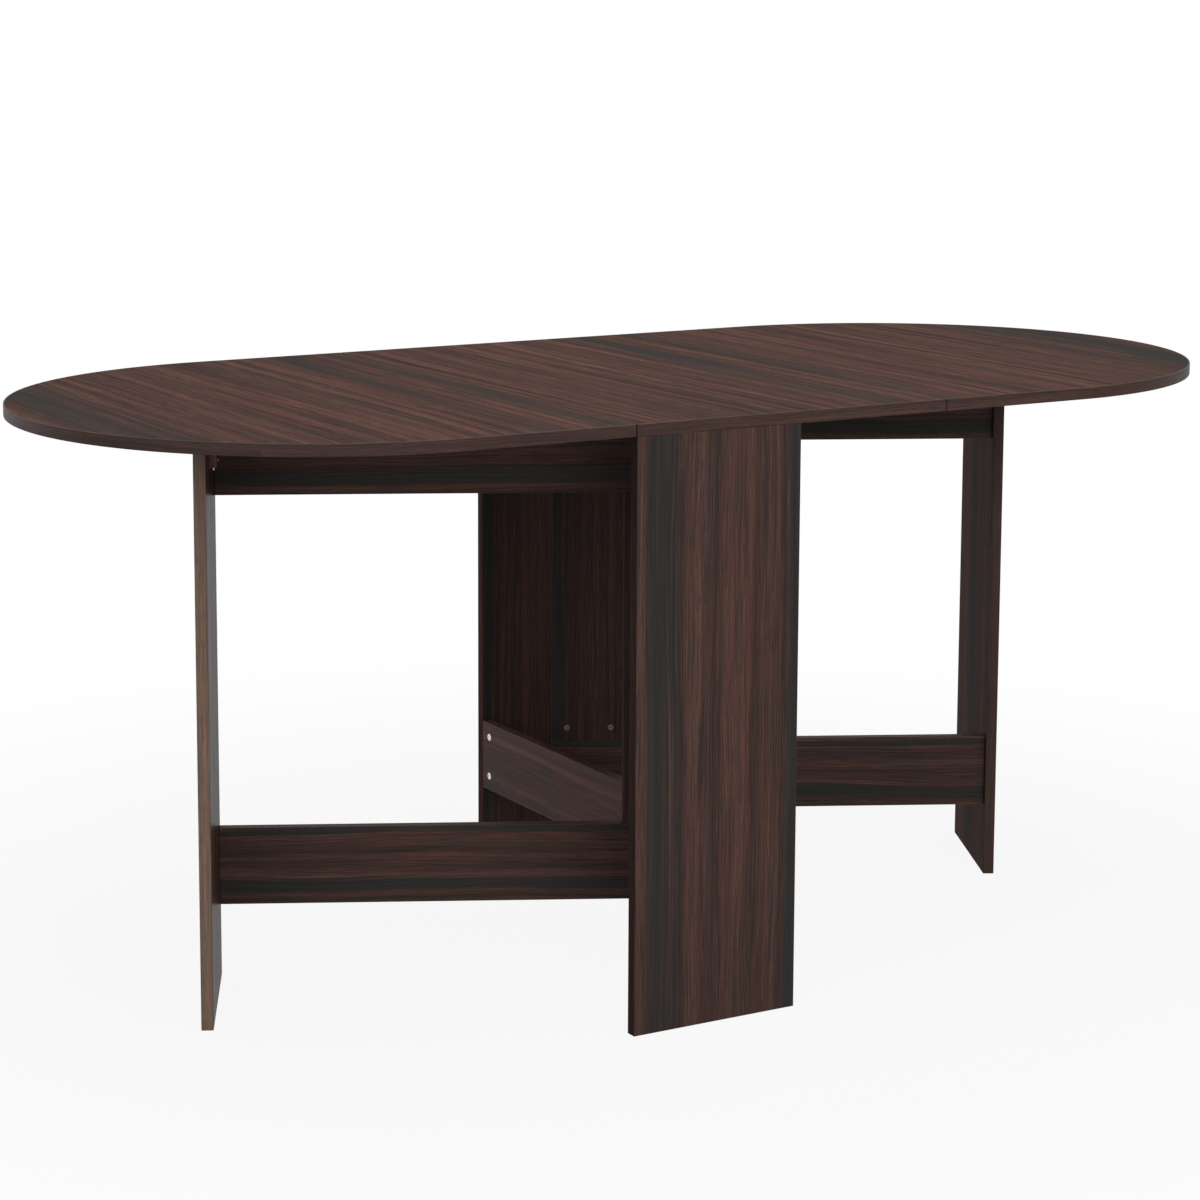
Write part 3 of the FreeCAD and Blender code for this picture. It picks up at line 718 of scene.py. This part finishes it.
def bevel_edges(
    shape: BMesh, edges: list[BMEdge], width: float, steps: int
) -> list[BMFace]:
    """Rounds or slopes edges of a mesh.

    Args:
        shape: The mesh.
        edges: The edges.
        width: How far the new faces reach from each edge.
        steps: How many faces there are across each edge.

    Returns:
        The new faces.
    """
    return bmesh.ops.bevel(
        shape,
        geom=edges,
        offset=width,
        offset_type="OFFSET",
        segments=steps,
        profile=0.5,
        affect="EDGES",
        material=-1,
        clamp_overlap=True,
    )["faces"]


def shade_by_shape(shape: BMesh) -> None:
    """Shades flat faces flat, and faces that meet at small angles as one round face.

    Args:
        shape: The mesh.
    """
    for face in shape.faces:
        face.smooth = True
    for edge in shape.edges:
        edge.smooth = edge.calc_face_angle(0.0) < ROUND_ANGLE


def finish_piece(
    shape: BMesh, name: str, body: str, node: str, finishes: list[Finish]
) -> Object:
    """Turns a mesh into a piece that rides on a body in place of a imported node.

    Args:
        shape: The mesh, which is freed.
        name: The piece's name.
        body: The body that carries it.
        node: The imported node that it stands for.
        finishes: Its finishes, in the order of its faces' indices.

    Returns:
        The piece.
    """
    mesh = bpy.data.meshes.new(name)
    shade_by_shape(shape)
    shape.to_mesh(mesh)
    shape.free()
    packed_normals = mesh.attributes.get("custom_normal")
    if packed_normals:
        mesh.attributes.remove(packed_normals)
    piece = bpy.data.objects.new(name, mesh)
    bpy.context.scene.collection.objects.link(piece)
    for finish in finishes:
        mesh.materials.append(finish.material())
    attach(piece, body)
    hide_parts(node)
    LOG.info("built %s on %s", name, body)
    return piece


@dataclass(frozen=True)
class BoardAxes:
    """A board's own directions: along its printed grain, across it and through its thickness."""

    along: Vector
    across: Vector
    through: Vector
    origin: Vector

    def place(self, point: Vector) -> Vector:
        """Gives a point in the board's own directions."""
        away = point - self.origin
        return Vector((away.dot(self.along), away.dot(self.across), away.dot(self.through)))

    def kind(self, normal: Vector) -> Face:
        """Tells a sheet face, a long edge and an end apart by their normal."""
        parts = (abs(normal.dot(self.through)), abs(normal.dot(self.across)), abs(normal.dot(self.along)))
        return Face(parts.index(max(parts)))


@dataclass(frozen=True)
class Board:
    """One laminated board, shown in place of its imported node, with softened edges and edge bands."""

    node: str
    body: str
    axes: BoardAxes
    sheet: Laminate
    edge: Laminate
    softening: float = 0.0007
    steps: int = 2
    reverse_shift: float = 0.43
    reverse: Optional[Laminate] = None

    def build(self) -> Object:
        """Makes the board's piece from a copy of its node and sets it on its body.

        Returns:
            The new piece.
        """
        shape = copy_node(self.node)
        bevel_edges(shape, self.outer_edges(shape), self.softening, self.steps)
        self.lay_print(shape)
        finishes = [finish for finish in (self.sheet, self.edge, self.reverse) if finish]
        return finish_piece(shape, f"{self.node}_board", self.body, self.node, finishes)

    def outer_edges(self, shape: BMesh) -> list[BMEdge]:
        """Finds the straight edges of the board's outline.

        Args:
            shape: The board's mesh.

        Returns:
            The edges on which two outer faces meet.
        """
        places = {vert: self.axes.place(vert.co) for vert in shape.verts}
        limits = [(pick(p[axis] for p in places.values()), axis) for axis in range(3) for pick in (min, max)]
        found = []
        for edge in shape.edges:
            ends = [places[vert] for vert in edge.verts]
            rims = sum(all(abs(end[axis] - limit) < ON_LIMIT for end in ends) for limit, axis in limits)
            if rims >= 2:
                found.append(edge)
        return found

    def lay_print(self, shape: BMesh) -> None:
        """Lays the grain map over the board, in metres, and sorts its faces by finish.

        Args:
            shape: The board's mesh.
        """
        layer = shape.loops.layers.uv.new(GRAIN_MAP)
        for face in shape.faces:
            kind = self.axes.kind(face.normal)
            back = face.normal.dot(self.axes.through) < 0
            face.material_index = 0 if kind is Face.SHEET else 1
            if self.reverse and back and kind is Face.SHEET:
                face.material_index = 2
            for loop in face.loops:
                along, across, through = self.axes.place(loop.vert.co)
                if kind is Face.SHEET:
                    loop[layer].uv = (along + (self.reverse_shift if back else 0.0), across)
                elif kind is Face.LONG_EDGE:
                    loop[layer].uv = (along, through + across)
                else:
                    loop[layer].uv = (across, through + along)


@dataclass(frozen=True)
class Fitting:
    """A small fitting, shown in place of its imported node, with its sharp outer edges softened."""

    node: str
    body: str
    finish: Finish
    softening: float = 0.0003
    steps: int = 2
    sharp_angle: float = math.radians(40.0)

    def build(self) -> Object:
        """Makes the fitting's piece from a copy of its node and sets it on its body.

        Returns:
            The new piece.
        """
        shape = copy_node(self.node)
        edges = [edge for edge in shape.edges if edge.is_convex and edge.calc_face_angle(0.0) > self.sharp_angle]
        bevel_edges(shape, edges, self.softening, self.steps)
        return finish_piece(shape, f"{self.node}_softened", self.body, self.node, [self.finish])


@dataclass(frozen=True)
class SunkCams:
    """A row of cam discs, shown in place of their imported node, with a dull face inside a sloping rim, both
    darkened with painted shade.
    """

    node: str
    board: str
    body: str
    facing: Vector
    finish: Metal
    rim_finish: Metal
    slope: float = 0.0015
    radius: float = 0.005
    rim_angle: float = math.radians(60.0)
    side_lean: float = 0.5
    side_depth: float = 1.2

    def build(self) -> Object:
        """Makes the cams' piece from a copy of their node and slopes the rims that show.

        Returns:
            The new piece.
        """
        shape = copy_node(self.node)
        board_heights = [vert.co.dot(self.facing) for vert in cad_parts[self.board].data.vertices]
        limits = (min(board_heights), max(board_heights))
        edges = []
        for edge in shape.edges:
            heights = [vert.co.dot(self.facing) for vert in edge.verts]
            flush = any(max(abs(height - limit) for height in heights) < FLUSH for limit in limits)
            if flush and edge.calc_face_angle(0.0) > self.rim_angle and self.on_rim(edge):
                edges.append(edge)
        for face in bevel_edges(shape, edges, self.slope, 1):
            face.material_index = 1
        return finish_piece(shape, f"{self.node}_sloped", self.body, self.node, [self.finish, self.rim_finish])

    def on_rim(self, edge: BMEdge) -> bool:
        """Tells the round rim of a cam from the sides of its slot, which are less deep."""
        sides = [face for face in edge.link_faces if abs(face.normal.dot(self.facing)) < self.side_lean]
        return any(face.calc_area() > self.side_depth * edge.calc_length() * self.radius for face in sides)


@dataclass
class TableTop:
    """The fixed middle of the top, the two leaves and their rims."""

    half_width: float = 0.400
    end_centre: float = 0.440
    strip_joint: float = math.radians(35.0)
    rear_rim_shift: float = 3.0
    edge_softening: float = 0.0004
    seed: float = 11.0
    tint: Colour = (1.01, 0.98, 0.965)
    gloss: float = 0.012
    dulling: float = 0.22
    fade: float = 0.5
    rim_tint: Colour = (0.92, 0.92, 0.95)
    end_rim_tint: Colour = (0.69, 0.72, 0.75)
    rim_calm: float = 0.55
    centre_bands: Bands = ((0.155, 0.046),)
    left_bands: Bands = ((-0.762, 0.096), (-0.332, 0.022), (-0.250, 0.030))
    right_bands: Bands = ((0.244, 0.034), (0.766, 0.098), (0.690, 0.012))

    def build(self) -> None:
        """Builds the boards of the top."""
        axes = BoardAxes(Y_AXIS, X_AXIS, Z_AXIS, ORIGIN)
        edge = Laminate("top_edge_print", Slot.RIM, self.seed + 1.0)
        look = {"tint": self.tint, "gloss": self.gloss, "dulling": self.dulling, "fade": self.fade, "calm": 0.0}
        boards = {
            "centre_top": (BASE, self.centre_bands),
            "left_leaf": (Side.LEFT.leaf, self.left_bands),
            "right_leaf": (Side.RIGHT.leaf, self.right_bands),
        }
        for node, (body, bands) in boards.items():
            sheet = Laminate(f"{node}_print", Slot.TOP, self.seed, bands, **look)
            Board(node, body, axes, sheet, edge, self.edge_softening).build()

    def dress(self) -> None:
        """Builds the rims, whose print runs along them."""
        straight = Laminate("rim_print", Slot.RIM, self.seed + 2.0, (), 0.0, self.rim_tint, calm=self.rim_calm)
        end = Laminate("end_rim_print", Slot.RIM, self.seed + 3.0, (), 0.0, self.end_rim_tint, calm=self.rim_calm)
        self.build_rim("centre_rims", BASE, [straight])
        for side in Side:
            self.build_rim(f"{side.value}_leaf_rim", side.leaf, [straight, end])

    def build_rim(self, node: str, body: str, strips: list[Finish]) -> None:
        """Copies a rim, lays its print along it and gives the strip round the leaf's end its own finish.

        Args:
            node: The rim's node.
            body: The body that carries it.
            strips: The finish of the straight strips, and that of the strip round the end.
        """
        shape = copy_node(node, join_flat=False)
        layer = shape.loops.layers.uv.new(GRAIN_MAP)
        for face in shape.faces:
            for loop in face.loops:
                loop[layer].uv = self.along_rim(loop.vert.co)
            angles = [math.atan2(abs(vert.co.x) - self.end_centre, abs(vert.co.y)) for vert in face.verts]
            face.material_index = 1 if min(angles) + max(angles) > 2.0 * self.strip_joint else 0
        finish_piece(shape, f"{node}_band", body, node, strips)

    def along_rim(self, point: Vector) -> tuple[float, float]:
        """Gives the place of a point along the rim, from the table's middle line, and up it.

        Args:
            point: A point of the rim.

        Returns:
            The length along the rim and the height with the depth from its face, in metres.
        """
        reach = abs(point.x) - self.end_centre
        if reach <= 0.0:
            length = abs(point.x)
            depth = self.half_width - abs(point.y)
        else:
            length = self.end_centre + math.atan2(reach, abs(point.y)) * self.half_width
            depth = self.half_width - math.hypot(reach, point.y)
        if point.y >= 0.0:
            length += self.rear_rim_shift
        return (length if point.x > 0.0 else -length, point.z + depth)


@dataclass
class EndFrame:
    """The two end panels and the two rails of the spine between them."""

    panel_seed: float = 3.0
    panel_bands: Bands = ((-0.189, 0.040), (0.004, 0.026))
    panel_band_share: float = 0.06
    # Painted shade: the front panel's edges are tinted darker and cooler than its face and than the rear panel's
    # edges.
    front_edge_shade_tint: Colour = (0.42, 0.46, 0.50)
    front_edge_gloss: float = 0.01
    rear_edge_tint: Colour = (1.0, 0.98, 0.97)
    rear_edge_gloss: float = 0.002
    rail_seed: float = 21.0
    rail_tint: Colour = (1.10, 0.92, 0.89)

    def build(self) -> None:
        """Builds the panels and the spine rails."""
        seed = self.panel_seed
        sheet = Laminate("panel_print", Slot.UPRIGHT, seed, self.panel_bands, self.panel_band_share)
        # The front panel's edge print carries painted shade.
        front_edge = Laminate(
            "panel_edge_print", Slot.UPRIGHT, seed + 1.0, tint=self.front_edge_shade_tint, gloss=self.front_edge_gloss
        )
        rear_edge = Laminate(
            "rear_panel_edge_print", Slot.UPRIGHT, seed + 2.0, tint=self.rear_edge_tint, gloss=self.rear_edge_gloss
        )
        front = BoardAxes(Z_AXIS, X_AXIS, -Y_AXIS, ORIGIN)
        rear = BoardAxes(Z_AXIS, -X_AXIS, Y_AXIS, ORIGIN)
        Board("front_panel", BASE, front, sheet, front_edge).build()
        Board("rear_panel", BASE, rear, sheet, rear_edge).build()
        rail_sheet = Laminate("spine_rail_print", Slot.RAIL, self.rail_seed, (), 0.0, self.rail_tint, calm=0.0)
        rail_edge = Laminate("spine_rail_edge_print", Slot.RAIL, self.rail_seed + 1.0)
        rail_axes = BoardAxes(Y_AXIS, Z_AXIS, -X_AXIS, ORIGIN)
        for name in ("lower", "upper"):
            Board(f"spine_{name}_rail", BASE, rail_axes, rail_sheet, rail_edge).build()

    def dress(self) -> None:
        """Gives the fittings of the base their finishes."""
        for node in ("spine_cams", "panel_cams"):
            Fitting(node, BASE, CAM_ZINC).build()
        # The pivot plates' near-black colour is painted shade.
        for node in ("upper_pivot_plates", "lower_pivot_plates"):
            Fitting(node, BASE, PLATE).build()
        for node in ("spine_cam_bolts", "panel_cam_bolts", "pivot_pins", "pivot_plate_screws"):
            dress_node(node, STEEL)
        dress_node("panel_dowels", DOWEL)


@dataclass
class LeafHinges:
    """The row of hinges under one seam."""

    side: Side
    plate_softening: float = 0.0002
    head_softening: float = 0.0004

    def build(self) -> None:
        """Builds the plates and screws of the two halves of each hinge."""
        for half, body in (("frame", BASE), ("leaf", self.side.leaf)):
            row = f"{self.side.value}_hinge_{half}"
            Fitting(f"{row}_halves", body, HINGE_STEEL, self.plate_softening).build()
            Fitting(f"{row}_screws", body, STEEL, self.head_softening).build()

    def dress(self) -> None:
        """Gives the hinge pins their finish."""
        dress_node(f"{self.side.value}_hinge_pins", STEEL)


@dataclass(frozen=True)
class LegLook:
    """How one gate's leg looks on its edges and on the face towards its rails. Its tints are painted light: the
    left leg's edge is about three times as pale as the right leg's, and its face is paler too.
    """

    edge_tint_painted_light: Colour
    face_tint_painted_light: Colour
    face_bands: Bands
    face_gloss: float
    face_dulling: float


LEG_BANDS = ((0.105, 0.040), (0.011, 0.056))
# Painted light: the left leg's edge tint makes it about three times as pale as the right leg's edge, and its face
# tint makes its face paler, for the light that falls on that leg.
LEG_LOOKS_PAINTED_LIGHT = {
    Side.LEFT: LegLook((2.70, 3.20, 2.85), (1.40, 1.28, 1.18), LEG_BANDS, 0.0032, -0.20),
    Side.RIGHT: LegLook((1.00, 1.05, 1.05), (1.22, 1.20, 1.20), LEG_BANDS[:1], 0.004, 0.0),
}


@dataclass
class Gate:
    """One swinging gate: leg, two rails, stile and their fittings."""

    side: Side
    pivot_across: float = 0.026
    pivot_along: float = 0.226
    open_angle: float = 26.3
    rail_seed: float = 31.0
    lower_rail_bands: Bands = ((0.194, 0.009), (0.121, 0.019))
    upper_rail_bands: Bands = ((0.650, 0.022),)
    leg_seed: float = 41.0
    leg_edge_calm: float = 0.5
    stile_bands: Bands = ((0.0, 0.02),)
    stile_tint: Colour = (0.70, 0.68, 0.70)
    stile_edge_gloss: float = 0.002

    def directions(self) -> tuple[Vector, Vector, Vector]:
        """Gives the gate's pivot, the way along its rails and the way across them.

        Returns:
            The pivot on the floor and the two directions.
        """
        turn = math.radians((180.0 if self.side is Side.LEFT else 0.0) - self.open_angle)
        outward = Vector((math.cos(turn), math.sin(turn), 0.0))
        across = Vector((-math.sin(turn), math.cos(turn), 0.0))
        pivot = Vector((self.side.sign * self.pivot_across, self.side.sign * self.pivot_along, 0.0))
        return pivot, outward, across

    def build(self) -> None:
        """Builds the gate's rails, stile and leg."""
        pivot, outward, across = self.directions()
        side, body, look = self.side.value, self.side.gate, LEG_LOOKS_PAINTED_LIGHT[self.side]
        rail_axes = BoardAxes(outward, Z_AXIS, across, pivot)
        rail_edge = Laminate("gate_rail_edge_print", Slot.RAIL, self.rail_seed + 1.0)
        lower = Laminate("gate_rail_print", Slot.RAIL, self.rail_seed, self.lower_rail_bands)
        upper = Laminate("upper_rail_print", Slot.RAIL, self.rail_seed + 2.0, self.upper_rail_bands)
        Board(f"{side}_lower_rail", body, rail_axes, lower, rail_edge).build()
        Board(f"{side}_upper_rail", body, rail_axes, upper, rail_edge).build()
        seed, slot, tint = self.leg_seed, Slot.UPRIGHT, self.stile_tint
        stile_axes = BoardAxes(Z_AXIS, outward, across, pivot)
        stile = Laminate("stile_print", slot, seed + 2.0, self.stile_bands, tint=tint)
        stile_edge = Laminate("stile_edge_print", slot, seed + 3.0, tint=tint, gloss=self.stile_edge_gloss)
        Board(f"{side}_stile", body, stile_axes, stile, stile_edge).build()
        leg_axes = BoardAxes(Z_AXIS, across, outward, pivot)
        leg = Laminate("leg_print", slot, seed, LEG_BANDS, 0.0)
        # The leg's edge and face tints are painted light, strongest on the left leg.
        face_look = (look.face_bands, 0.0, look.face_tint_painted_light, look.face_dulling)
        face = Laminate(f"{side}_leg_face_print", slot, seed, *face_look, gloss=look.face_gloss)
        edge_name = f"{side}_leg_edge_print"
        edge = Laminate(edge_name, slot, seed + 1.0, (), 0.0, look.edge_tint_painted_light, calm=self.leg_edge_calm)
        Board(f"{side}_leg", body, leg_axes, leg, edge, reverse=face).build()

    def dress(self) -> None:
        """Gives the gate's fittings their finishes."""
        side = self.side.value
        hidden = {"pivot_bushes": BUSH, "stile_cam_bolts": STEEL, "rail_dowels": DOWEL, "rail_screws": STEEL}
        for name, finish in hidden.items():
            dress_node(f"{side}_{name}", finish)
        shown = {"rail_screw_caps": CAP, "rest_block": REST, "rest_screws": STEEL}
        shown.update({"rest_caps": RED, "rest_pin": STEEL})
        for name, finish in shown.items():
            Fitting(f"{side}_{name}", self.side.gate, finish).build()
        across = self.directions()[2]
        # The stile cams' dark colours are painted shade.
        SunkCams(f"{side}_stile_cams", f"{side}_stile", self.side.gate, across, SHADE_DARKENED_ZINC, SHADED_ZINC).build()


@dataclass(frozen=True)
class SoftLamp:
    """One large soft lamp of the studio."""

    name: str
    place: Point
    target: Point
    width: float
    height: float
    power: float

    def build(self) -> None:
        """Sets up the lamp, turned to what it lights."""
        light = bpy.data.lights.new(self.name, "AREA")
        light.shape = "RECTANGLE"
        light.size = self.width
        light.size_y = self.height
        light.energy = self.power
        lamp = bpy.data.objects.new(self.name, light)
        bpy.context.scene.collection.objects.link(lamp)
        lamp.location = self.place
        lamp.rotation_euler = (Vector(self.target) - lamp.location).to_track_quat("-Z", "Y").to_euler()


LAMPS = (
    SoftLamp("left_lamp", (-3.6, -1.9, 1.5), (-0.2, -0.1, 0.45), 2.2, 2.0, 22.0),
    SoftLamp("top_lamp", (0.0, -0.6, 3.6), (0.0, 0.0, 0.7), 3.6, 2.6, 72.0),
    SoftLamp("back_lamp", (-2.6, 4.0, 1.3), (0.1, 0.0, 0.45), 2.2, 1.6, 22.0),
    SoftLamp("front_lamp", (-1.0, -4.3, 2.3), (0.0, 0.0, 0.45), 2.6, 2.0, 62.0),
)


@dataclass
class Studio:
    """The pale floor, the lamps, the white surroundings and the camera."""

    eye: Point = (-2.07186, -3.42826, 1.26710)
    yaw: float = 0.5053
    pitch: float = 0.1451
    focal_pixels: float = 3045.44
    centre_pixels: tuple[float, float] = (510.0, 425.0)
    lamps: tuple[SoftLamp, ...] = LAMPS
    floor_size: float = 40.0
    floor_dark: Colour = (0.40, 0.40, 0.40)
    floor_pale: Colour = (0.42, 0.42, 0.42)
    floor_cloud_scale: float = 1.5
    floor_roughness: float = 0.9
    floor_gloss: float = 0.1
    shadow_reach: tuple[float, float] = (0.7, 1.9)
    shadow_whiteness: float = 0.91
    sky_level: float = 0.46

    def build(self) -> None:
        """Builds the floor, the lamps, the surroundings and the camera."""
        self.build_floor()
        for lamp in self.lamps:
            lamp.build()
        self.build_surroundings()
        self.build_camera()

    def build_floor(self) -> None:
        """Lays a pale floor that keeps the table's shadow and is clear from below."""
        shape = bmesh.new()
        bmesh.ops.create_grid(shape, x_segments=1, y_segments=1, size=self.floor_size / 2.0)
        mesh = bpy.data.meshes.new("studio_floor")
        shape.to_mesh(mesh)
        shape.free()
        floor = bpy.data.objects.new("studio_floor", mesh)
        bpy.context.scene.collection.objects.link(floor)
        mesh.materials.append(self.floor_material())

    def floor_material(self) -> Material:
        """Makes the floor white to the eye away from the table, and a plain pale grey to the light.

        Returns:
            The floor's material.
        """
        material, graph, shader = new_material("pale_floor")
        where = graph.add("ShaderNodeTexCoord").outputs["Object"]
        cloudy = graph.noise(where, self.floor_cloud_scale)
        looks = {
            "Base Color": graph.mix(cloudy, self.floor_dark, self.floor_pale),
            "Roughness": self.floor_roughness,
            "Specular IOR Level": self.floor_gloss,
        }
        graph.wire(shader, looks)
        away = graph.add("ShaderNodeVectorMath", {0: where}, operation="LENGTH").outputs["Value"]
        whiteness = graph.spread(away, *self.shadow_reach, self.shadow_whiteness, 1.0)
        seen = graph.math("MULTIPLY", white_rays(graph), whiteness)
        white = graph.add("ShaderNodeEmission").outputs["Emission"]
        above = graph.add("ShaderNodeMixShader", {0: seen, 1: shader.outputs["BSDF"], 2: white})
        below = graph.add("ShaderNodeNewGeometry").outputs["Backfacing"]
        clear = graph.add("ShaderNodeBsdfTransparent").outputs["BSDF"]
        both = graph.add("ShaderNodeMixShader", {0: below, 1: above.outputs["Shader"], 2: clear})
        graph.wire(graph.find("OUTPUT_MATERIAL"), {"Surface": both.outputs["Shader"]})
        return material

    def build_surroundings(self) -> None:
        """Makes the surroundings white to the eye and in reflections, and a soft plain light otherwise."""
        world = bpy.data.worlds.new("studio_surroundings")
        bpy.context.scene.world = world
        world.use_nodes = True
        graph = Graph(world.node_tree)
        strength = graph.spread(white_rays(graph), 0.0, 1.0, self.sky_level, 1.0)
        graph.wire(graph.find("BACKGROUND"), {"Color": (1.0, 1.0, 1.0), "Strength": strength})

    def build_camera(self) -> None:
        """Sets the camera where the photograph was taken from."""
        lens = bpy.data.cameras.new("photo_camera")
        lens.sensor_width = SENSOR_WIDTH
        lens.sensor_fit = "HORIZONTAL"
        lens.lens = self.focal_pixels / IMAGE_SIDE * SENSOR_WIDTH
        lens.shift_x = (IMAGE_SIDE / 2.0 - self.centre_pixels[0]) / IMAGE_SIDE
        lens.shift_y = (self.centre_pixels[1] - IMAGE_SIDE / 2.0) / IMAGE_SIDE
        camera = bpy.data.objects.new("photo_camera", lens)
        bpy.context.scene.collection.objects.link(camera)
        turn = Matrix.Rotation(-self.yaw, 4, "Z") @ Matrix.Rotation(math.pi / 2.0 - self.pitch, 4, "X")
        camera.matrix_world = Matrix.Translation(Vector(self.eye)) @ turn
        bpy.context.scene.camera = camera


def white_rays(graph: Graph) -> NodeSocket:
    """Tells the rays that see the white background from the rays that light the table.

    Args:
        graph: The graph of the floor's material or of the surroundings.

    Returns:
        One for rays from the camera, from a reflection or through glass, and zero for others.
    """
    path = graph.add("ShaderNodeLightPath").outputs
    seen = graph.math("MAXIMUM", path["Is Camera Ray"], path["Is Glossy Ray"])
    return graph.math("MAXIMUM", seen, path["Is Transmission Ray"])


def main() -> None:
    """Builds the table's sub-assemblies in order, then the studio."""
    logging.basicConfig(level=logging.INFO, format="%(name)s: %(message)s")
    bpy.context.scene.view_settings.view_transform = "Standard"
    top = TableTop()
    top.build()
    top.dress()
    ends = EndFrame()
    ends.build()
    ends.dress()
    for side in Side:
        hinges = LeafHinges(side)
        hinges.build()
        hinges.dress()
        gate = Gate(side)
        gate.build()
        gate.dress()
    Studio().build()


if __name__ == "__main__":
    main()
